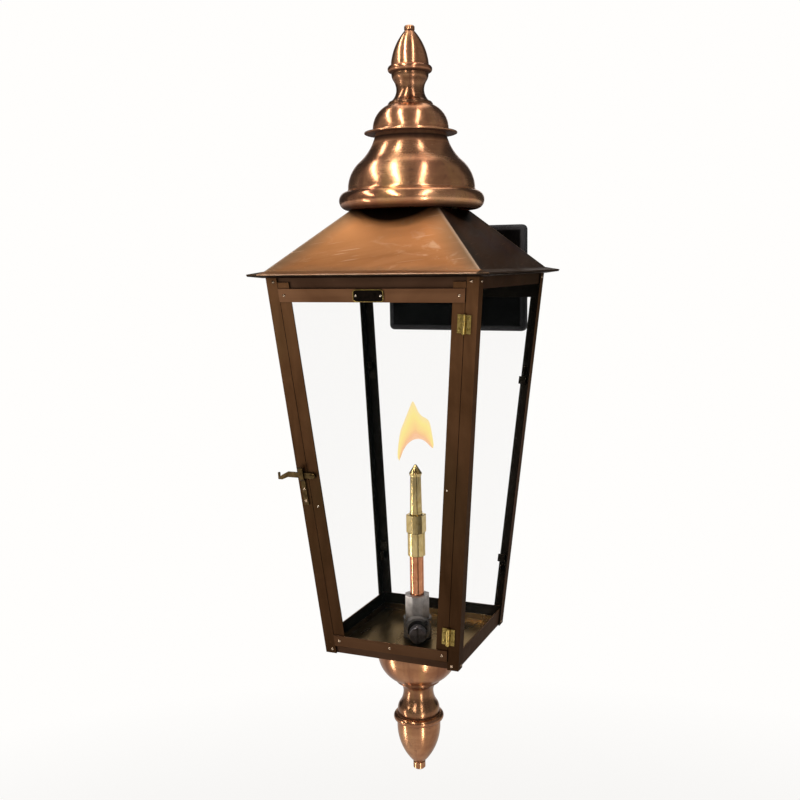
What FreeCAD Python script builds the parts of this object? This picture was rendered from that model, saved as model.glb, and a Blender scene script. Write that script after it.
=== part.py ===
import FreeCAD, Part
import math
import os
from types import SimpleNamespace

import Sketcher
from FreeCAD import Placement, Rotation, Vector

# Wall-mounted gas lantern: a tapered riveted cage with a hinged glass door, a hipped hood with a
# spun vent bell, turned finials above and below, an open-flame burner and a wall plate.
# Millimetres, +Z up. The origin is the centre of the wall plate's back face, the wall is the
# plane y = 0 and the door faces -Y.

SIZES = {
    # Wall plate and arm
    "plate_width": 178.0,
    "plate_height": 127.0,
    "plate_depth": 10.0,
    "plate_corner": 6.0,
    "plate_edge_round": 4.0,
    "plate_drop": 8.0,
    "wall_hole_spacing": 120.0,
    "wall_hole_radius": 3.3,
    "wall_gap": 3.0,
    "arm_width": 44.0,
    "arm_height": 18.0,
    "arm_drop": 7.0,
    # Cage of angle posts and flat rails
    "cage_top_half": 117.0,
    "cage_bottom_half": 78.0,
    "cage_height": 416.0,
    "frame_sheet": 1.6,
    "post_flange": 12.5,
    "top_rail_height": 14.0,
    "rear_rail_height": 30.0,
    "bottom_rail_height": 20.0,
    "front_sill_height": 10.5,
    "rail_end_gap": 0.6,
    "rivet_inset": 8.0,
    "rivet_drop": 6.0,
    "rivet_rise": 4.5,
    "rivet_shank_radius": 0.9,
    "rivet_head_radius": 1.7,
    "rivet_head_height": 1.0,
    "floor_sheet": 1.2,
    "floor_rim": 8.0,
    "fit_gap": 0.3,
    "running_gap": 0.05,
    # Glass and its clips
    "glass_sheet": 3.0,
    "glass_corner_gap": 8.2,
    "glass_top_drop": 3.0,
    "clip_sheet": 1.2,
    "clip_length": 9.0,
    "clip_reach": 5.0,
    "clip_stem_inset": 4.2,
    "clip_upper_drop": 120.0,
    "clip_lower_rise": 62.0,
    "clip_stagger": 12.0,
    # Eave and hood
    "brim_overhang": 14.4,
    "brim_sheet": 1.2,
    "eave_sheet": 1.0,
    "eave_skirt_drop": 1.8,
    "eave_skirt_foot": 2.0,
    "eave_ledge": 14.0,
    "hood_foot_overhang": 1.0,
    "hood_foot_rise": 5.0,
    "hood_top_half": 49.5,
    "hood_top_rise": 68.7,
    "hood_vent_half": 40.0,
    "strap_width": 16.0,
    "strap_sheet": 2.5,
    # Spun vent bell and its cap
    "spun_wall": 1.2,
    "bell_rim_roll": 10.0,
    "bell_shoulder_radius": 69.0,
    "bell_shoulder_rise": 22.0,
    "bell_shoulder_curve": 38.5,
    "bell_turn_radius": 56.0,
    "bell_turn_rise": 51.0,
    "bell_flare_curve": 56.6,
    "bell_neck_radius": 38.6,
    "bell_neck_rise": 78.8,
    "bell_height": 80.5,
    "cap_flange_radius": 50.3,
    "cap_flange_sheet": 1.8,
    "cap_seat_radius": 33.0,
    "cap_dome_radius": 41.0,
    "cap_dome_curve": 27.0,
    "cap_fillet": 2.8,
    "cap_top_radius": 24.5,
    "cap_height": 30.0,
    # Upper finial
    "neck_step_height": 3.4,
    "top_neck_step_radius": 24.3,
    "top_neck_flare_radius": 21.7,
    "top_neck_flare_curve": 15.6,
    "top_neck_waist_radius": 15.0,
    "top_neck_waist_rise": 15.7,
    "top_neck_rise_curve": 18.2,
    "top_neck_turn_radius": 18.2,
    "top_neck_turn_rise": 26.0,
    "top_neck_crown_curve": 10.0,
    "top_neck_crown_radius": 19.8,
    "top_neck_height": 33.5,
    "top_bead_radius": 24.0,
    "top_bead_height": 7.6,
    "top_acorn_radius": 20.5,
    "top_acorn_curve": 60.0,
    "top_acorn_tip_radius": 5.0,
    "top_acorn_tip_rise": 43.6,
    "top_knob_radius": 5.6,
    "top_acorn_height": 48.8,
    "top_rod_radius": 3.0,
    "top_rod_grip": 24.0,
    "rod_head_radius": 5.5,
    "rod_head_height": 4.0,
    # Lower bowl and finial
    "bowl_radius": 46.5,
    "bowl_straight": 16.5,
    "bowl_curve": 36.4,
    "bowl_foot_radius": 27.5,
    "bowl_height": 48.5,
    "low_neck_step_radius": 26.7,
    "low_neck_flare_radius": 24.3,
    "low_neck_flare_curve": 14.5,
    "low_neck_waist_radius": 17.4,
    "low_neck_waist_rise": 15.0,
    "low_neck_rise_curve": 26.0,
    "low_neck_turn_radius": 21.2,
    "low_neck_turn_rise": 29.0,
    "low_neck_crown_curve": 14.0,
    "low_neck_crown_radius": 23.6,
    "low_neck_height": 42.3,
    "low_bead_radius": 29.1,
    "low_bead_height": 8.6,
    "low_acorn_radius": 24.9,
    "low_acorn_curve": 66.0,
    "low_acorn_tip_radius": 6.4,
    "low_acorn_tip_rise": 60.7,
    "low_knob_radius": 7.1,
    "low_acorn_height": 69.5,
    "low_rod_radius": 4.0,
    "low_rod_grip": 30.0,
    "low_rod_thread": 7.0,
    # Door
    "door_sheet": 1.3,
    "door_gap": 0.6,
    "stop_sheet": 1.0,
    "stop_lap": 0.8,
    "stop_grip": 3.0,
    "stile_width": 13.0,
    "stile_top_drop": 6.5,
    "stile_bottom_rise": 8.5,
    "door_rail_drop": 13.0,
    "door_rail_height": 13.6,
    "door_sill_rise": 10.0,
    "door_sill_height": 12.0,
    "door_rivet_inset": 6.0,
    "door_glass_margin": 4.0,
    "door_glass_relief": 1.5,
    "door_clip_inset": 1.2,
    "door_clip_drop": 232.0,
    "badge_width": 34.0,
    "badge_height": 13.0,
    "badge_sheet": 0.9,
    "badge_corner": 3.5,
    # Hinges
    "hinge_length": 18.6,
    "hinge_knuckle_radius": 2.0,
    "hinge_pin_radius": 1.0,
    "hinge_pin_head_radius": 1.5,
    "hinge_pin_head_height": 0.8,
    "hinge_leaf_width": 5.0,
    "hinge_leaf_sheet": 1.0,
    "hinge_lift": 0.2,
    "hinge_top_drop": 47.5,
    "hinge_bottom_rise": 38.8,
    # Latch and keeper
    "latch_drop": 212.9,
    "latch_inset": 19.3,
    "latch_arm_height": 6.0,
    "latch_arm_sheet": 2.0,
    "latch_lift": 0.3,
    "latch_reach": 30.0,
    "latch_hook_reach": 12.2,
    "latch_hook_width": 2.1,
    "latch_hook_drop": 3.2,
    "latch_pin_radius": 1.6,
    "latch_pin_head_radius": 2.7,
    "latch_pin_head_height": 1.2,
    "keeper_inset": 6.2,
    "keeper_width": 5.0,
    "keeper_sheet": 1.4,
    "keeper_length": 30.0,
    "keeper_hold": 4.5,
    "keeper_flare": 2.4,
    "keeper_gap": 0.4,
    # Valve and burner
    "valve_barrel_radius": 16.0,
    "valve_barrel_height": 23.0,
    "valve_socket_half": 13.6,
    "valve_socket_height": 27.0,
    "valve_socket_depth": 12.0,
    "valve_boss_radius": 14.2,
    "valve_boss_reach": 22.0,
    "valve_boss_rise": 14.6,
    "valve_cup_radius": 11.2,
    "valve_cup_depth": 5.0,
    "valve_notch_width": 4.4,
    "inlet_boss_radius": 9.0,
    "inlet_boss_reach": 24.0,
    "inlet_bore_radius": 5.0,
    "inlet_bore_depth": 14.0,
    "knob_radius": 9.6,
    "knob_length": 22.0,
    "knob_neck_radius": 6.2,
    "knob_neck_length": 10.0,
    "knob_chamfer": 0.8,
    "knob_slot_width": 2.0,
    "knob_slot_depth": 1.2,
    "knob_spindle_radius": 4.0,
    "knob_spindle_length": 12.0,
    "riser_radius": 7.95,
    "riser_wall": 1.0,
    "riser_show": 46.0,
    "sleeve_radius": 10.0,
    "sleeve_height": 27.0,
    "sleeve_socket_depth": 10.0,
    "gas_way_radius": 3.0,
    "burner_nut_half": 10.0,
    "burner_nut_height": 21.0,
    "burner_foot_radius": 7.3,
    "burner_neck_radius": 6.1,
    "burner_neck_rise": 44.2,
    "burner_cap_radius": 7.2,
    "burner_cap_rise": 47.7,
    "burner_height": 57.4,
}


class Size:
    """A length that carries its number and the sheet expression that gives it."""

    def __init__(self, value, text):
        self.value = value
        self.text = text

    @staticmethod
    def of(other):
        if isinstance(other, Size):
            return other
        return Size(float(other), f"({float(other)!r})")

    def __add__(self, other):
        other = Size.of(other)
        return Size(self.value + other.value, f"({self.text} + {other.text})")

    def __sub__(self, other):
        other = Size.of(other)
        return Size(self.value - other.value, f"({self.text} - {other.text})")

    def __mul__(self, other):
        other = Size.of(other)
        return Size(self.value * other.value, f"({self.text} * {other.text})")

    def __truediv__(self, other):
        other = Size.of(other)
        return Size(self.value / other.value, f"({self.text} / {other.text})")

    def __neg__(self):
        return Size(-self.value, f"(-{self.text})")

    def root(self):
        return Size(math.sqrt(self.value), f"sqrt({self.text})")


doc = FreeCAD.newDocument("wall_lantern")
sheet = doc.addObject("Spreadsheet::Sheet", "Sizes")
for row, (alias, number) in enumerate(SIZES.items(), start=1):
    sheet.set(f"A{row}", alias)
    sheet.set(f"B{row}", str(number))
    sheet.setAlias(f"B{row}", alias)
doc.recompute()
s = SimpleNamespace(**{alias: Size(number, f"Sizes.{alias}") for alias, number in SIZES.items()})

parts = []

# Geometry of the tapered cage. A face is drawn flat: across it, and up its slope from the eave.
lean = s.cage_top_half - s.cage_bottom_half
slant = (lean * lean + s.cage_height * s.cage_height).root()
taper = lean / slant
slope_cosine = s.cage_height / slant
tilt_angle = f"atan({(lean / s.cage_height).text})"
edge_angle = f"atan({taper.text})"
flat_sheet = s.frame_sheet / slope_cosine
brim_half = s.cage_top_half + s.brim_overhang
standoff = s.plate_depth + s.wall_gap + brim_half
floor_top = s.floor_sheet - s.cage_height
FULL_TURN = 360.0
X_AXIS = "vector(1; 0; 0)"
Y_AXIS = "vector(0; 1; 0)"
Z_AXIS = "vector(0; 0; 1)"
SIDES = ("front", "right", "rear", "left")


def half_at(up):
    """Half the width of a cage face at a place up its slope."""
    return s.cage_top_half + up * taper


def placed(x=0, y=0, z=0, axis=Z_AXIS, angle="0"):
    """The expression of a placement."""
    places = "; ".join(Size.of(place).text for place in (x, y, z))
    return f"placement(vector({places}); rotation({axis}; {angle}))"


def add_frame(name, expression):
    frame = doc.addObject("App::Placement", name)
    frame.setExpression("Placement", expression)
    return f"{name}.Placement"


LANTERN = add_frame("lantern_frame", placed(y=-standoff, z=s.plate_drop))
FACES = {}
for quarter, side in enumerate(SIDES):
    turned = placed(angle=str(quarter * 90))
    leaning = placed(y=-s.cage_top_half, axis=X_AXIS, angle=tilt_angle)
    FACES[side] = add_frame(f"{side}_face", f"{LANTERN} * {turned} * {leaning}")


def new_body(label, frame):
    body = doc.addObject("PartDesign::Body", label)
    body.Label = label
    body.setExpression("Placement", frame)
    parts.append(body)
    return body


def new_sketch(body, role, offset=None, leaning=None):
    """A sketch on one of the body's origin planes, moved along its normal and leaned about its x axis."""
    sketch = body.newObject("Sketcher::SketchObject", f"{body.Label}_sketch")
    planes = [plane for plane in body.Origin.OriginFeatures if plane.Role == role]
    sketch.AttachmentSupport = (planes[0], [""])
    sketch.MapMode = "FlatFace"
    if leaning:
        axis, angle = leaning
        sketch.AttachmentOffset = Placement(Vector(), Rotation(axis, 1.0))
        sketch.setExpression("AttachmentOffset.Rotation.Angle", angle)
    if offset is not None:
        sketch.setExpression("AttachmentOffset.Base.z", offset.text)
    return sketch


def pin_point(sketch, geometry, end, x, y):
    """Ties a point of a sketch to the sheet."""
    for kind, place, axis in (("DistanceX", x, -2), ("DistanceY", y, -1)):
        if not isinstance(place, Size):
            sketch.addConstraint(Sketcher.Constraint("PointOnObject", geometry, end, axis))
            continue
        index = sketch.addConstraint(Sketcher.Constraint(kind, -1, 1, geometry, end, place.value))
        sketch.setExpression(f"Constraints[{index}]", place.text)


def set_radius(sketch, geometry, radius):
    index = sketch.addConstraint(Sketcher.Constraint("Radius", geometry, radius.value))
    sketch.setExpression(f"Constraints[{index}]", radius.text)


def arc_between(start, end, radius):
    """The shorter arc from start to end: it turns left for a positive radius and right for a negative one."""
    if radius < 0:
        start, end = end, start
    chord = end - start
    middle = (start + end) * 0.5
    left = Vector(-chord.y, chord.x, 0).normalize()
    centre = middle + left * math.sqrt(radius * radius - chord.Length ** 2 / 4)
    first = math.atan2(start.y - centre.y, start.x - centre.x)
    last = math.atan2(end.y - centre.y, end.x - centre.x)
    if last < first:
        last += 2 * math.pi
    return Part.ArcOfCircle(Part.Circle(centre, Vector(0, 0, 1), abs(radius)), first, last)


def draw(sketch, corners, holes=()):
    """A closed outline of (x, y) or (x, y, radius of the arc to the next corner), and round holes.

    A plain 0 puts a point on the sketch's own axis.
    """
    points = [Vector(Size.of(corner[0]).value, Size.of(corner[1]).value, 0) for corner in corners]
    edges = []
    for index, corner in enumerate(corners):
        start = points[index]
        end = points[(index + 1) % len(points)]
        radius = corner[2] if len(corner) > 2 else None
        if radius is None:
            edges.append((sketch.addGeometry(Part.LineSegment(start, end), False), 1, 2))
            continue
        arc = sketch.addGeometry(arc_between(start, end, radius.value), False)
        set_radius(sketch, arc, radius if radius.value > 0 else -radius)
        edges.append((arc, 1, 2) if radius.value > 0 else (arc, 2, 1))
    for index, (edge, first, last) in enumerate(edges):
        before, _, joint = edges[index - 1]
        sketch.addConstraint(Sketcher.Constraint("Coincident", before, joint, edge, first))
        pin_point(sketch, edge, first, corners[index][0], corners[index][1])
    for x, y, radius in holes:
        draw_circle(sketch, x, y, radius)


def draw_circle(sketch, x, y, radius):
    centre = Vector(Size.of(x).value, Size.of(y).value, 0)
    circle = sketch.addGeometry(Part.Circle(centre, Vector(0, 0, 1), radius.value), False)
    set_radius(sketch, circle, radius)
    pin_point(sketch, circle, 3, x, y)


def draw_square(sketch, half):
    draw(sketch, [(half, -half), (half, half), (-half, half), (-half, -half)])


def draw_polygon(sketch, half, sides):
    """A regular polygon of a given half width across its flats."""
    reach = 1.0 / math.cos(math.pi / sides)
    turns = [(2 * index + 1) * math.pi / sides for index in range(sides)]
    draw(sketch, [(half * (reach * math.cos(turn)), half * (reach * math.sin(turn))) for turn in turns])


def pad(body, sketch, length, backwards=False, kind="PartDesign::Pad"):
    feature = body.newObject(kind, f"{body.Label}_{kind.split('::')[1].lower()}")
    feature.Profile = sketch
    feature.setExpression("Length", length.text)
    feature.Reversed = backwards
    return feature


def pocket(body, sketch, length, backwards=False):
    return pad(body, sketch, length, backwards, "PartDesign::Pocket")


def loft(body, lower, upper, kind="PartDesign::AdditiveLoft"):
    feature = body.newObject(kind, f"{body.Label}_loft")
    feature.Profile = lower
    feature.Sections = [upper]
    feature.Ruled = True
    return feature


def square_loft(body, lower, upper, kind="PartDesign::AdditiveLoft"):
    """A square frustum between (half width, height) and (half width, height)."""
    sketches = []
    for half, height in (lower, upper):
        sketch = new_sketch(body, "XY_Plane", height)
        draw_square(sketch, half)
        sketches.append(sketch)
    return loft(body, sketches[0], sketches[1], kind)


def spin(body, corners):
    """A solid of revolution about the body's z axis, from an outline of radius and height."""
    sketch = new_sketch(body, "XZ_Plane")
    draw(sketch, corners)
    feature = body.newObject("PartDesign::Revolution", f"{body.Label}_revolution")
    feature.Profile = sketch
    feature.ReferenceAxis = (sketch, ["V_Axis"])
    feature.Angle = FULL_TURN
    return feature


def sheet_piece(label, frame, outline, depth, thickness, holes=()):
    """A flat piece in a face: its front lies at a depth behind the face's outer plane."""
    body = new_body(label, frame)
    sketch = new_sketch(body, "XZ_Plane", -depth)
    draw(sketch, outline, holes)
    pad(body, sketch, thickness, backwards=True)
    return body


def tapered(top, bottom, inset):
    """An outline between two places up a face, with sides parallel to the cage's corners."""
    high = half_at(top) - inset
    low = half_at(bottom) - inset
    return [(high, top), (-high, top), (-low, bottom), (low, bottom)]


# Cage posts: bent angles that follow the corners, with a rivet hole near each end of each flange
rivet_hole = s.rivet_shank_radius + s.running_gap
rivet_top = -s.rivet_drop
rivet_bottom = s.rivet_rise - slant
rivet_rows = (rivet_top, rivet_bottom)


def angle_section(sketch, half):
    flange_end = half - s.post_flange
    inside = half - flat_sheet
    draw(sketch, [
        (half, -half),
        (half, -flange_end),
        (inside, -flange_end),
        (inside, -inside),
        (flange_end, -inside),
        (flange_end, -half),
    ])


def make_post(label, turn, extra_holes=()):
    body = new_body(label, f"{LANTERN} * {placed(angle=str(turn))}")
    lower = new_sketch(body, "XY_Plane", -s.cage_height)
    angle_section(lower, s.cage_bottom_half)
    upper = new_sketch(body, "XY_Plane")
    angle_section(upper, s.cage_top_half)
    loft(body, lower, upper)
    for role, hand in (("XZ_Plane", 1), ("YZ_Plane", -1)):
        sketch = new_sketch(body, role, s.cage_top_half, (Vector(1, 0, 0), tilt_angle))
        for up in rivet_rows:
            draw_circle(sketch, (half_at(up) - s.rivet_inset) * hand, up, rivet_hole)
        if role == "YZ_Plane":
            for across, up in extra_holes:
                draw_circle(sketch, across, up, rivet_hole)
        pocket(body, sketch, s.frame_sheet * 3)


# Latch keeper: its rivets also pass through the left front post
latch_up = -s.latch_drop
keeper_step_up = latch_up - s.latch_arm_height / 2 - s.keeper_gap
keeper_rivet_ups = [keeper_step_up - s.keeper_length * share for share in (0.4, 0.85)]


def keeper_across(up):
    return half_at(up) - s.keeper_inset


make_post("post_front_right", 0)
make_post("post_rear_right", 90)
make_post("post_rear_left", 180)
make_post("post_front_left", 270, [(-keeper_across(up), up) for up in keeper_rivet_ups])


# Rails riveted behind the posts' flanges: the side rails run full width, the others fit between
def make_rail(label, side, top, bottom, rivet_up):
    inset = s.frame_sheet + s.fit_gap
    if side in ("front", "rear"):
        inset = inset + s.frame_sheet
    across = half_at(rivet_up) - s.rivet_inset
    holes = [(across, rivet_up, rivet_hole), (-across, rivet_up, rivet_hole)]
    sheet_piece(label, FACES[side], tapered(top, bottom, inset), s.frame_sheet, s.frame_sheet, holes)


for side in SIDES:
    drop = s.rear_rail_height if side == "rear" else s.top_rail_height
    make_rail(f"top_rail_{side}", side, -s.rail_end_gap, -drop, rivet_top)
for side in SIDES:
    rise = s.front_sill_height if side == "front" else s.bottom_rail_height
    make_rail(f"bottom_rail_{side}", side, rise - slant, s.rail_end_gap - slant, rivet_bottom)

# Floor pan: a tray with an upturned rim inside the bottom rails
pan_low_half = s.cage_bottom_half - flat_sheet * 2 - s.fit_gap
pan_high_half = pan_low_half + s.floor_rim * lean / s.cage_height
pan = new_body("floor_pan", LANTERN)
pan_rim_top = s.floor_rim - s.cage_height
square_loft(pan, (pan_low_half, -s.cage_height), (pan_high_half, pan_rim_top))
square_loft(pan, (pan_low_half - s.floor_sheet, floor_top), (pan_high_half - s.floor_sheet, pan_rim_top),
            "PartDesign::SubtractiveLoft")
pan_hole = new_sketch(pan, "XY_Plane", floor_top)
draw_circle(pan_hole, 0, 0, s.low_rod_radius + s.fit_gap)
pocket(pan, pan_hole, s.floor_sheet * 2)

# Fixed glass panes stand on the pan's rim behind the rails
pane_bottom = (s.floor_rim + s.fit_gap) / slope_cosine - slant
pane_depth = s.frame_sheet * 2
for side in ("right", "rear", "left"):
    outline = tapered(-s.glass_top_drop, pane_bottom, s.glass_corner_gap)
    sheet_piece(f"glass_{side}", FACES[side], outline, pane_depth, s.glass_sheet)

# Eave collar: a flat ring on the posts with a sloped skirt round the cage's top
collar = new_body("eave_collar", LANTERN)
collar_half = brim_half - s.brim_sheet / 2
collar_ring = new_sketch(collar, "XY_Plane")
draw_square(collar_ring, collar_half)
pad(collar, collar_ring, s.eave_sheet)
skirt_foot_half = s.cage_top_half + s.eave_skirt_foot
square_loft(collar, (skirt_foot_half, -s.eave_skirt_drop), (collar_half, s.eave_sheet * 0))
collar_seat = new_sketch(collar, "XY_Plane")
draw_square(collar_seat, s.cage_top_half + s.fit_gap)
pocket(collar, collar_seat, s.eave_skirt_drop * 2)
collar_opening = new_sketch(collar, "XY_Plane", s.eave_sheet)
draw_square(collar_opening, s.cage_top_half - s.eave_ledge)
pocket(collar, collar_opening, s.eave_sheet * 2)

# Hood: a brim and four hipped panels of folded sheet, with a square vent at the top
hood = new_body("roof_hood", LANTERN)
brim_top = s.eave_sheet + s.brim_sheet
hood_foot_half = s.cage_top_half + s.hood_foot_overhang
brim = new_sketch(hood, "XY_Plane", s.eave_sheet)
draw_square(brim, brim_half)
pad(hood, brim, s.brim_sheet)
square_loft(hood, (brim_half, brim_top), (hood_foot_half, s.hood_foot_rise))
square_loft(hood, (hood_foot_half, s.hood_foot_rise), (s.hood_top_half, s.hood_top_rise))
inner_foot = (hood_foot_half - s.brim_sheet, s.hood_foot_rise - s.brim_sheet)
inner_top = (s.hood_top_half - s.brim_sheet, s.hood_top_rise - s.brim_sheet)
square_loft(hood, (brim_half - s.brim_sheet, s.eave_sheet), inner_foot, "PartDesign::SubtractiveLoft")
square_loft(hood, inner_foot, inner_top, "PartDesign::SubtractiveLoft")
vent = new_sketch(hood, "XY_Plane", s.hood_top_rise)
draw_square(vent, s.hood_vent_half)
pocket(hood, vent, s.brim_sheet * 2)

# Strap across the vent: it carries the rod that holds the bell, the cap and the finial
strap = new_body("vent_strap", f"{LANTERN} * {placed(z=s.hood_top_rise)}")
strap_sketch = new_sketch(strap, "XY_Plane")
strap_half = s.strap_width / 2
rod_hole = s.top_rod_radius + s.fit_gap
draw(strap_sketch, [
    (s.hood_top_half, -strap_half),
    (s.hood_top_half, strap_half),
    (-s.hood_top_half, strap_half),
    (-s.hood_top_half, -strap_half),
], [(0, 0, rod_hole)])
pad(strap, strap_sketch, s.strap_sheet)


# Vent bell: spun sheet with a half-round rolled rim that rests on the hood's hips
def make_bell():
    wall = s.spun_wall
    roll = s.bell_rim_roll
    shoulder = s.bell_shoulder_radius
    inner_roll = roll - wall
    spin(new_body("vent_bell", f"{LANTERN} * {placed(z=bell_base)}"), [
        (shoulder, 0, roll),
        (shoulder + roll, roll, roll),
        (shoulder, roll * 2),
        (shoulder, s.bell_shoulder_rise, s.bell_shoulder_curve),
        (s.bell_turn_radius, s.bell_turn_rise, -s.bell_flare_curve),
        (s.bell_neck_radius, s.bell_neck_rise),
        (s.bell_neck_radius, s.bell_height),
        (rod_hole, s.bell_height),
        (rod_hole, s.bell_height - wall),
        (s.bell_neck_radius - wall, s.bell_height - wall),
        (s.bell_neck_radius - wall, s.bell_neck_rise - wall, s.bell_flare_curve),
        (s.bell_turn_radius - wall, s.bell_turn_rise - wall, -s.bell_shoulder_curve),
        (shoulder - wall, s.bell_shoulder_rise - wall),
        (shoulder - wall, roll * 2 - wall),
        (shoulder, roll * 2 - wall, -inner_roll),
        (shoulder + inner_roll, roll, -inner_roll),
        (shoulder, wall),
    ])


# Vent cap: a domed cover with a brim, on the bell's flat top
def make_cap():
    wall = s.spun_wall
    lip = s.cap_flange_sheet / 2
    dome_rise = s.cap_flange_sheet + s.cap_fillet
    spin(new_body("vent_cap", f"{LANTERN} * {placed(z=cap_base)}"), [
        (s.cap_flange_radius - lip, 0, lip),
        (s.cap_flange_radius, lip, lip),
        (s.cap_flange_radius - lip, s.cap_flange_sheet),
        (s.cap_dome_radius + s.cap_fillet, s.cap_flange_sheet, -s.cap_fillet),
        (s.cap_dome_radius, dome_rise, s.cap_dome_curve),
        (s.cap_top_radius, s.cap_height),
        (rod_hole, s.cap_height),
        (rod_hole, s.cap_height - wall),
        (s.cap_top_radius - wall, s.cap_height - wall, -s.cap_dome_curve),
        (s.cap_dome_radius - wall, dome_rise - wall),
        (s.cap_dome_radius - wall, wall),
        (s.cap_seat_radius, wall),
        (s.cap_seat_radius, 0),
    ])


def make_neck(label, frame, size, bore):
    """The turned waist of a finial, from its stepped foot to its crown."""
    spin(new_body(label, frame), [
        (bore, 0),
        (size("neck_step_radius"), 0),
        (size("neck_step_radius"), s.neck_step_height),
        (size("neck_flare_radius"), s.neck_step_height, -size("neck_flare_curve")),
        (size("neck_waist_radius"), size("neck_waist_rise"), -size("neck_rise_curve")),
        (size("neck_turn_radius"), size("neck_turn_rise"), size("neck_crown_curve")),
        (size("neck_crown_radius"), size("neck_height")),
        (bore, size("neck_height")),
    ])


def make_acorn(label, frame, size, bore, grip):
    """The bead, acorn and end knob of a finial, bored for its rod."""
    bead_height = size("bead_height")
    swell = size("bead_radius") - size("acorn_radius")
    bead_curve = (bead_height * bead_height / 4 + swell * swell) / (swell * 2)
    knob_edge = size("knob_radius") - size("acorn_tip_radius")
    spin(new_body(label, frame), [
        (bore, 0),
        (size("acorn_radius"), 0, bead_curve),
        (size("acorn_radius"), bead_height, size("acorn_curve")),
        (size("acorn_tip_radius"), size("acorn_tip_rise")),
        (size("knob_radius"), size("acorn_tip_rise") + knob_edge),
        (size("knob_radius"), size("acorn_height") - knob_edge * 2),
        (size("acorn_tip_radius") - knob_edge, size("acorn_height")),
        (0, size("acorn_height")),
        (0, grip),
        (bore, grip),
    ])


def finial_size(prefix):
    return lambda name: getattr(s, f"{prefix}_{name}")


bell_base = s.hood_top_rise + s.fit_gap
cap_base = bell_base + s.bell_height
top_neck_base = cap_base + s.cap_height
top_acorn_base = top_neck_base + s.top_neck_height
make_bell()
make_cap()
make_neck("finial_neck_top", f"{LANTERN} * {placed(z=top_neck_base)}", finial_size("top"), rod_hole)
make_acorn("finial_acorn_top", f"{LANTERN} * {placed(z=top_acorn_base)}", finial_size("top"),
           s.top_rod_radius + s.running_gap, s.top_rod_grip + s.fit_gap)
spin(new_body("finial_rod_top", f"{LANTERN} * {placed(z=s.hood_top_rise)}"), [
    (0, -s.rod_head_height),
    (s.rod_head_radius, -s.rod_head_height),
    (s.rod_head_radius, 0),
    (s.top_rod_radius, 0),
    (s.top_rod_radius, top_acorn_base + s.top_rod_grip - s.hood_top_rise),
    (0, top_acorn_base + s.top_rod_grip - s.hood_top_rise),
])

# Lower bowl and finial hang under the floor pan on a rod from the valve: drawn upside down
low_rod_hole = s.low_rod_radius + s.fit_gap


def hanging(drop):
    return f"{LANTERN} * {placed(z=-(s.cage_height + drop), axis=X_AXIS, angle='180')}"


def make_bowl():
    wall = s.spun_wall
    spin(new_body("lower_bowl", hanging(s.frame_sheet * 0)), [
        (s.bowl_radius, 0),
        (s.bowl_radius, s.bowl_straight, s.bowl_curve),
        (s.bowl_foot_radius, s.bowl_height),
        (low_rod_hole, s.bowl_height),
        (low_rod_hole, s.bowl_height - wall),
        (s.bowl_foot_radius - wall, s.bowl_height - wall, -s.bowl_curve),
        (s.bowl_radius - wall, s.bowl_straight - wall),
        (s.bowl_radius - wall, 0),
    ])


make_bowl()
make_neck("finial_neck_low", hanging(s.bowl_height), finial_size("low"), low_rod_hole)
low_acorn_drop = s.bowl_height + s.low_neck_height
make_acorn("finial_acorn_low", hanging(low_acorn_drop), finial_size("low"),
           s.low_rod_radius + s.running_gap, s.low_rod_grip + s.fit_gap)
spin(new_body("finial_rod_low", hanging(low_acorn_drop)), [
    (0, -(low_acorn_drop + s.floor_sheet + s.low_rod_thread)),
    (s.low_rod_radius, -(low_acorn_drop + s.floor_sheet + s.low_rod_thread)),
    (s.low_rod_radius, s.low_rod_grip),
    (0, s.low_rod_grip),
])

# Wall plate: rounded corners and front edge, with two wall holes on its centre line
plate = new_body("wall_plate", placed())
plate_sketch = new_sketch(plate, "XZ_Plane")
plate_half = s.plate_width / 2
plate_rise = s.plate_height / 2
corner = s.plate_corner
hole_across = s.wall_hole_spacing / 2
draw(plate_sketch, [
    (plate_half - corner, -plate_rise, corner),
    (plate_half, corner - plate_rise),
    (plate_half, plate_rise - corner, corner),
    (plate_half - corner, plate_rise),
    (corner - plate_half, plate_rise, corner),
    (-plate_half, plate_rise - corner),
    (-plate_half, corner - plate_rise, corner),
    (corner - plate_half, -plate_rise),
], [(hole_across, 0, s.wall_hole_radius), (-hole_across, 0, s.wall_hole_radius)])
plate_pad = pad(plate, plate_sketch, s.plate_depth)
doc.recompute()
front_rim = []
for index, edge in enumerate(plate_pad.Shape.Edges, start=1):
    box = edge.BoundBox
    at_front = abs(box.YMin + s.plate_depth.value) < 1e-6 and box.YLength < 1e-6
    if at_front and box.Center.sub(Vector(0, box.Center.y, 0)).Length > hole_across.value + corner.value:
        front_rim.append(f"Edge{index}")
    elif at_front and box.XLength > s.wall_hole_spacing.value:
        front_rim.append(f"Edge{index}")
rounding = plate.newObject("PartDesign::Fillet", "wall_plate_rounding")
rounding.Base = (plate_pad, front_rim)
rounding.setExpression("Radius", s.plate_edge_round.text)

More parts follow.
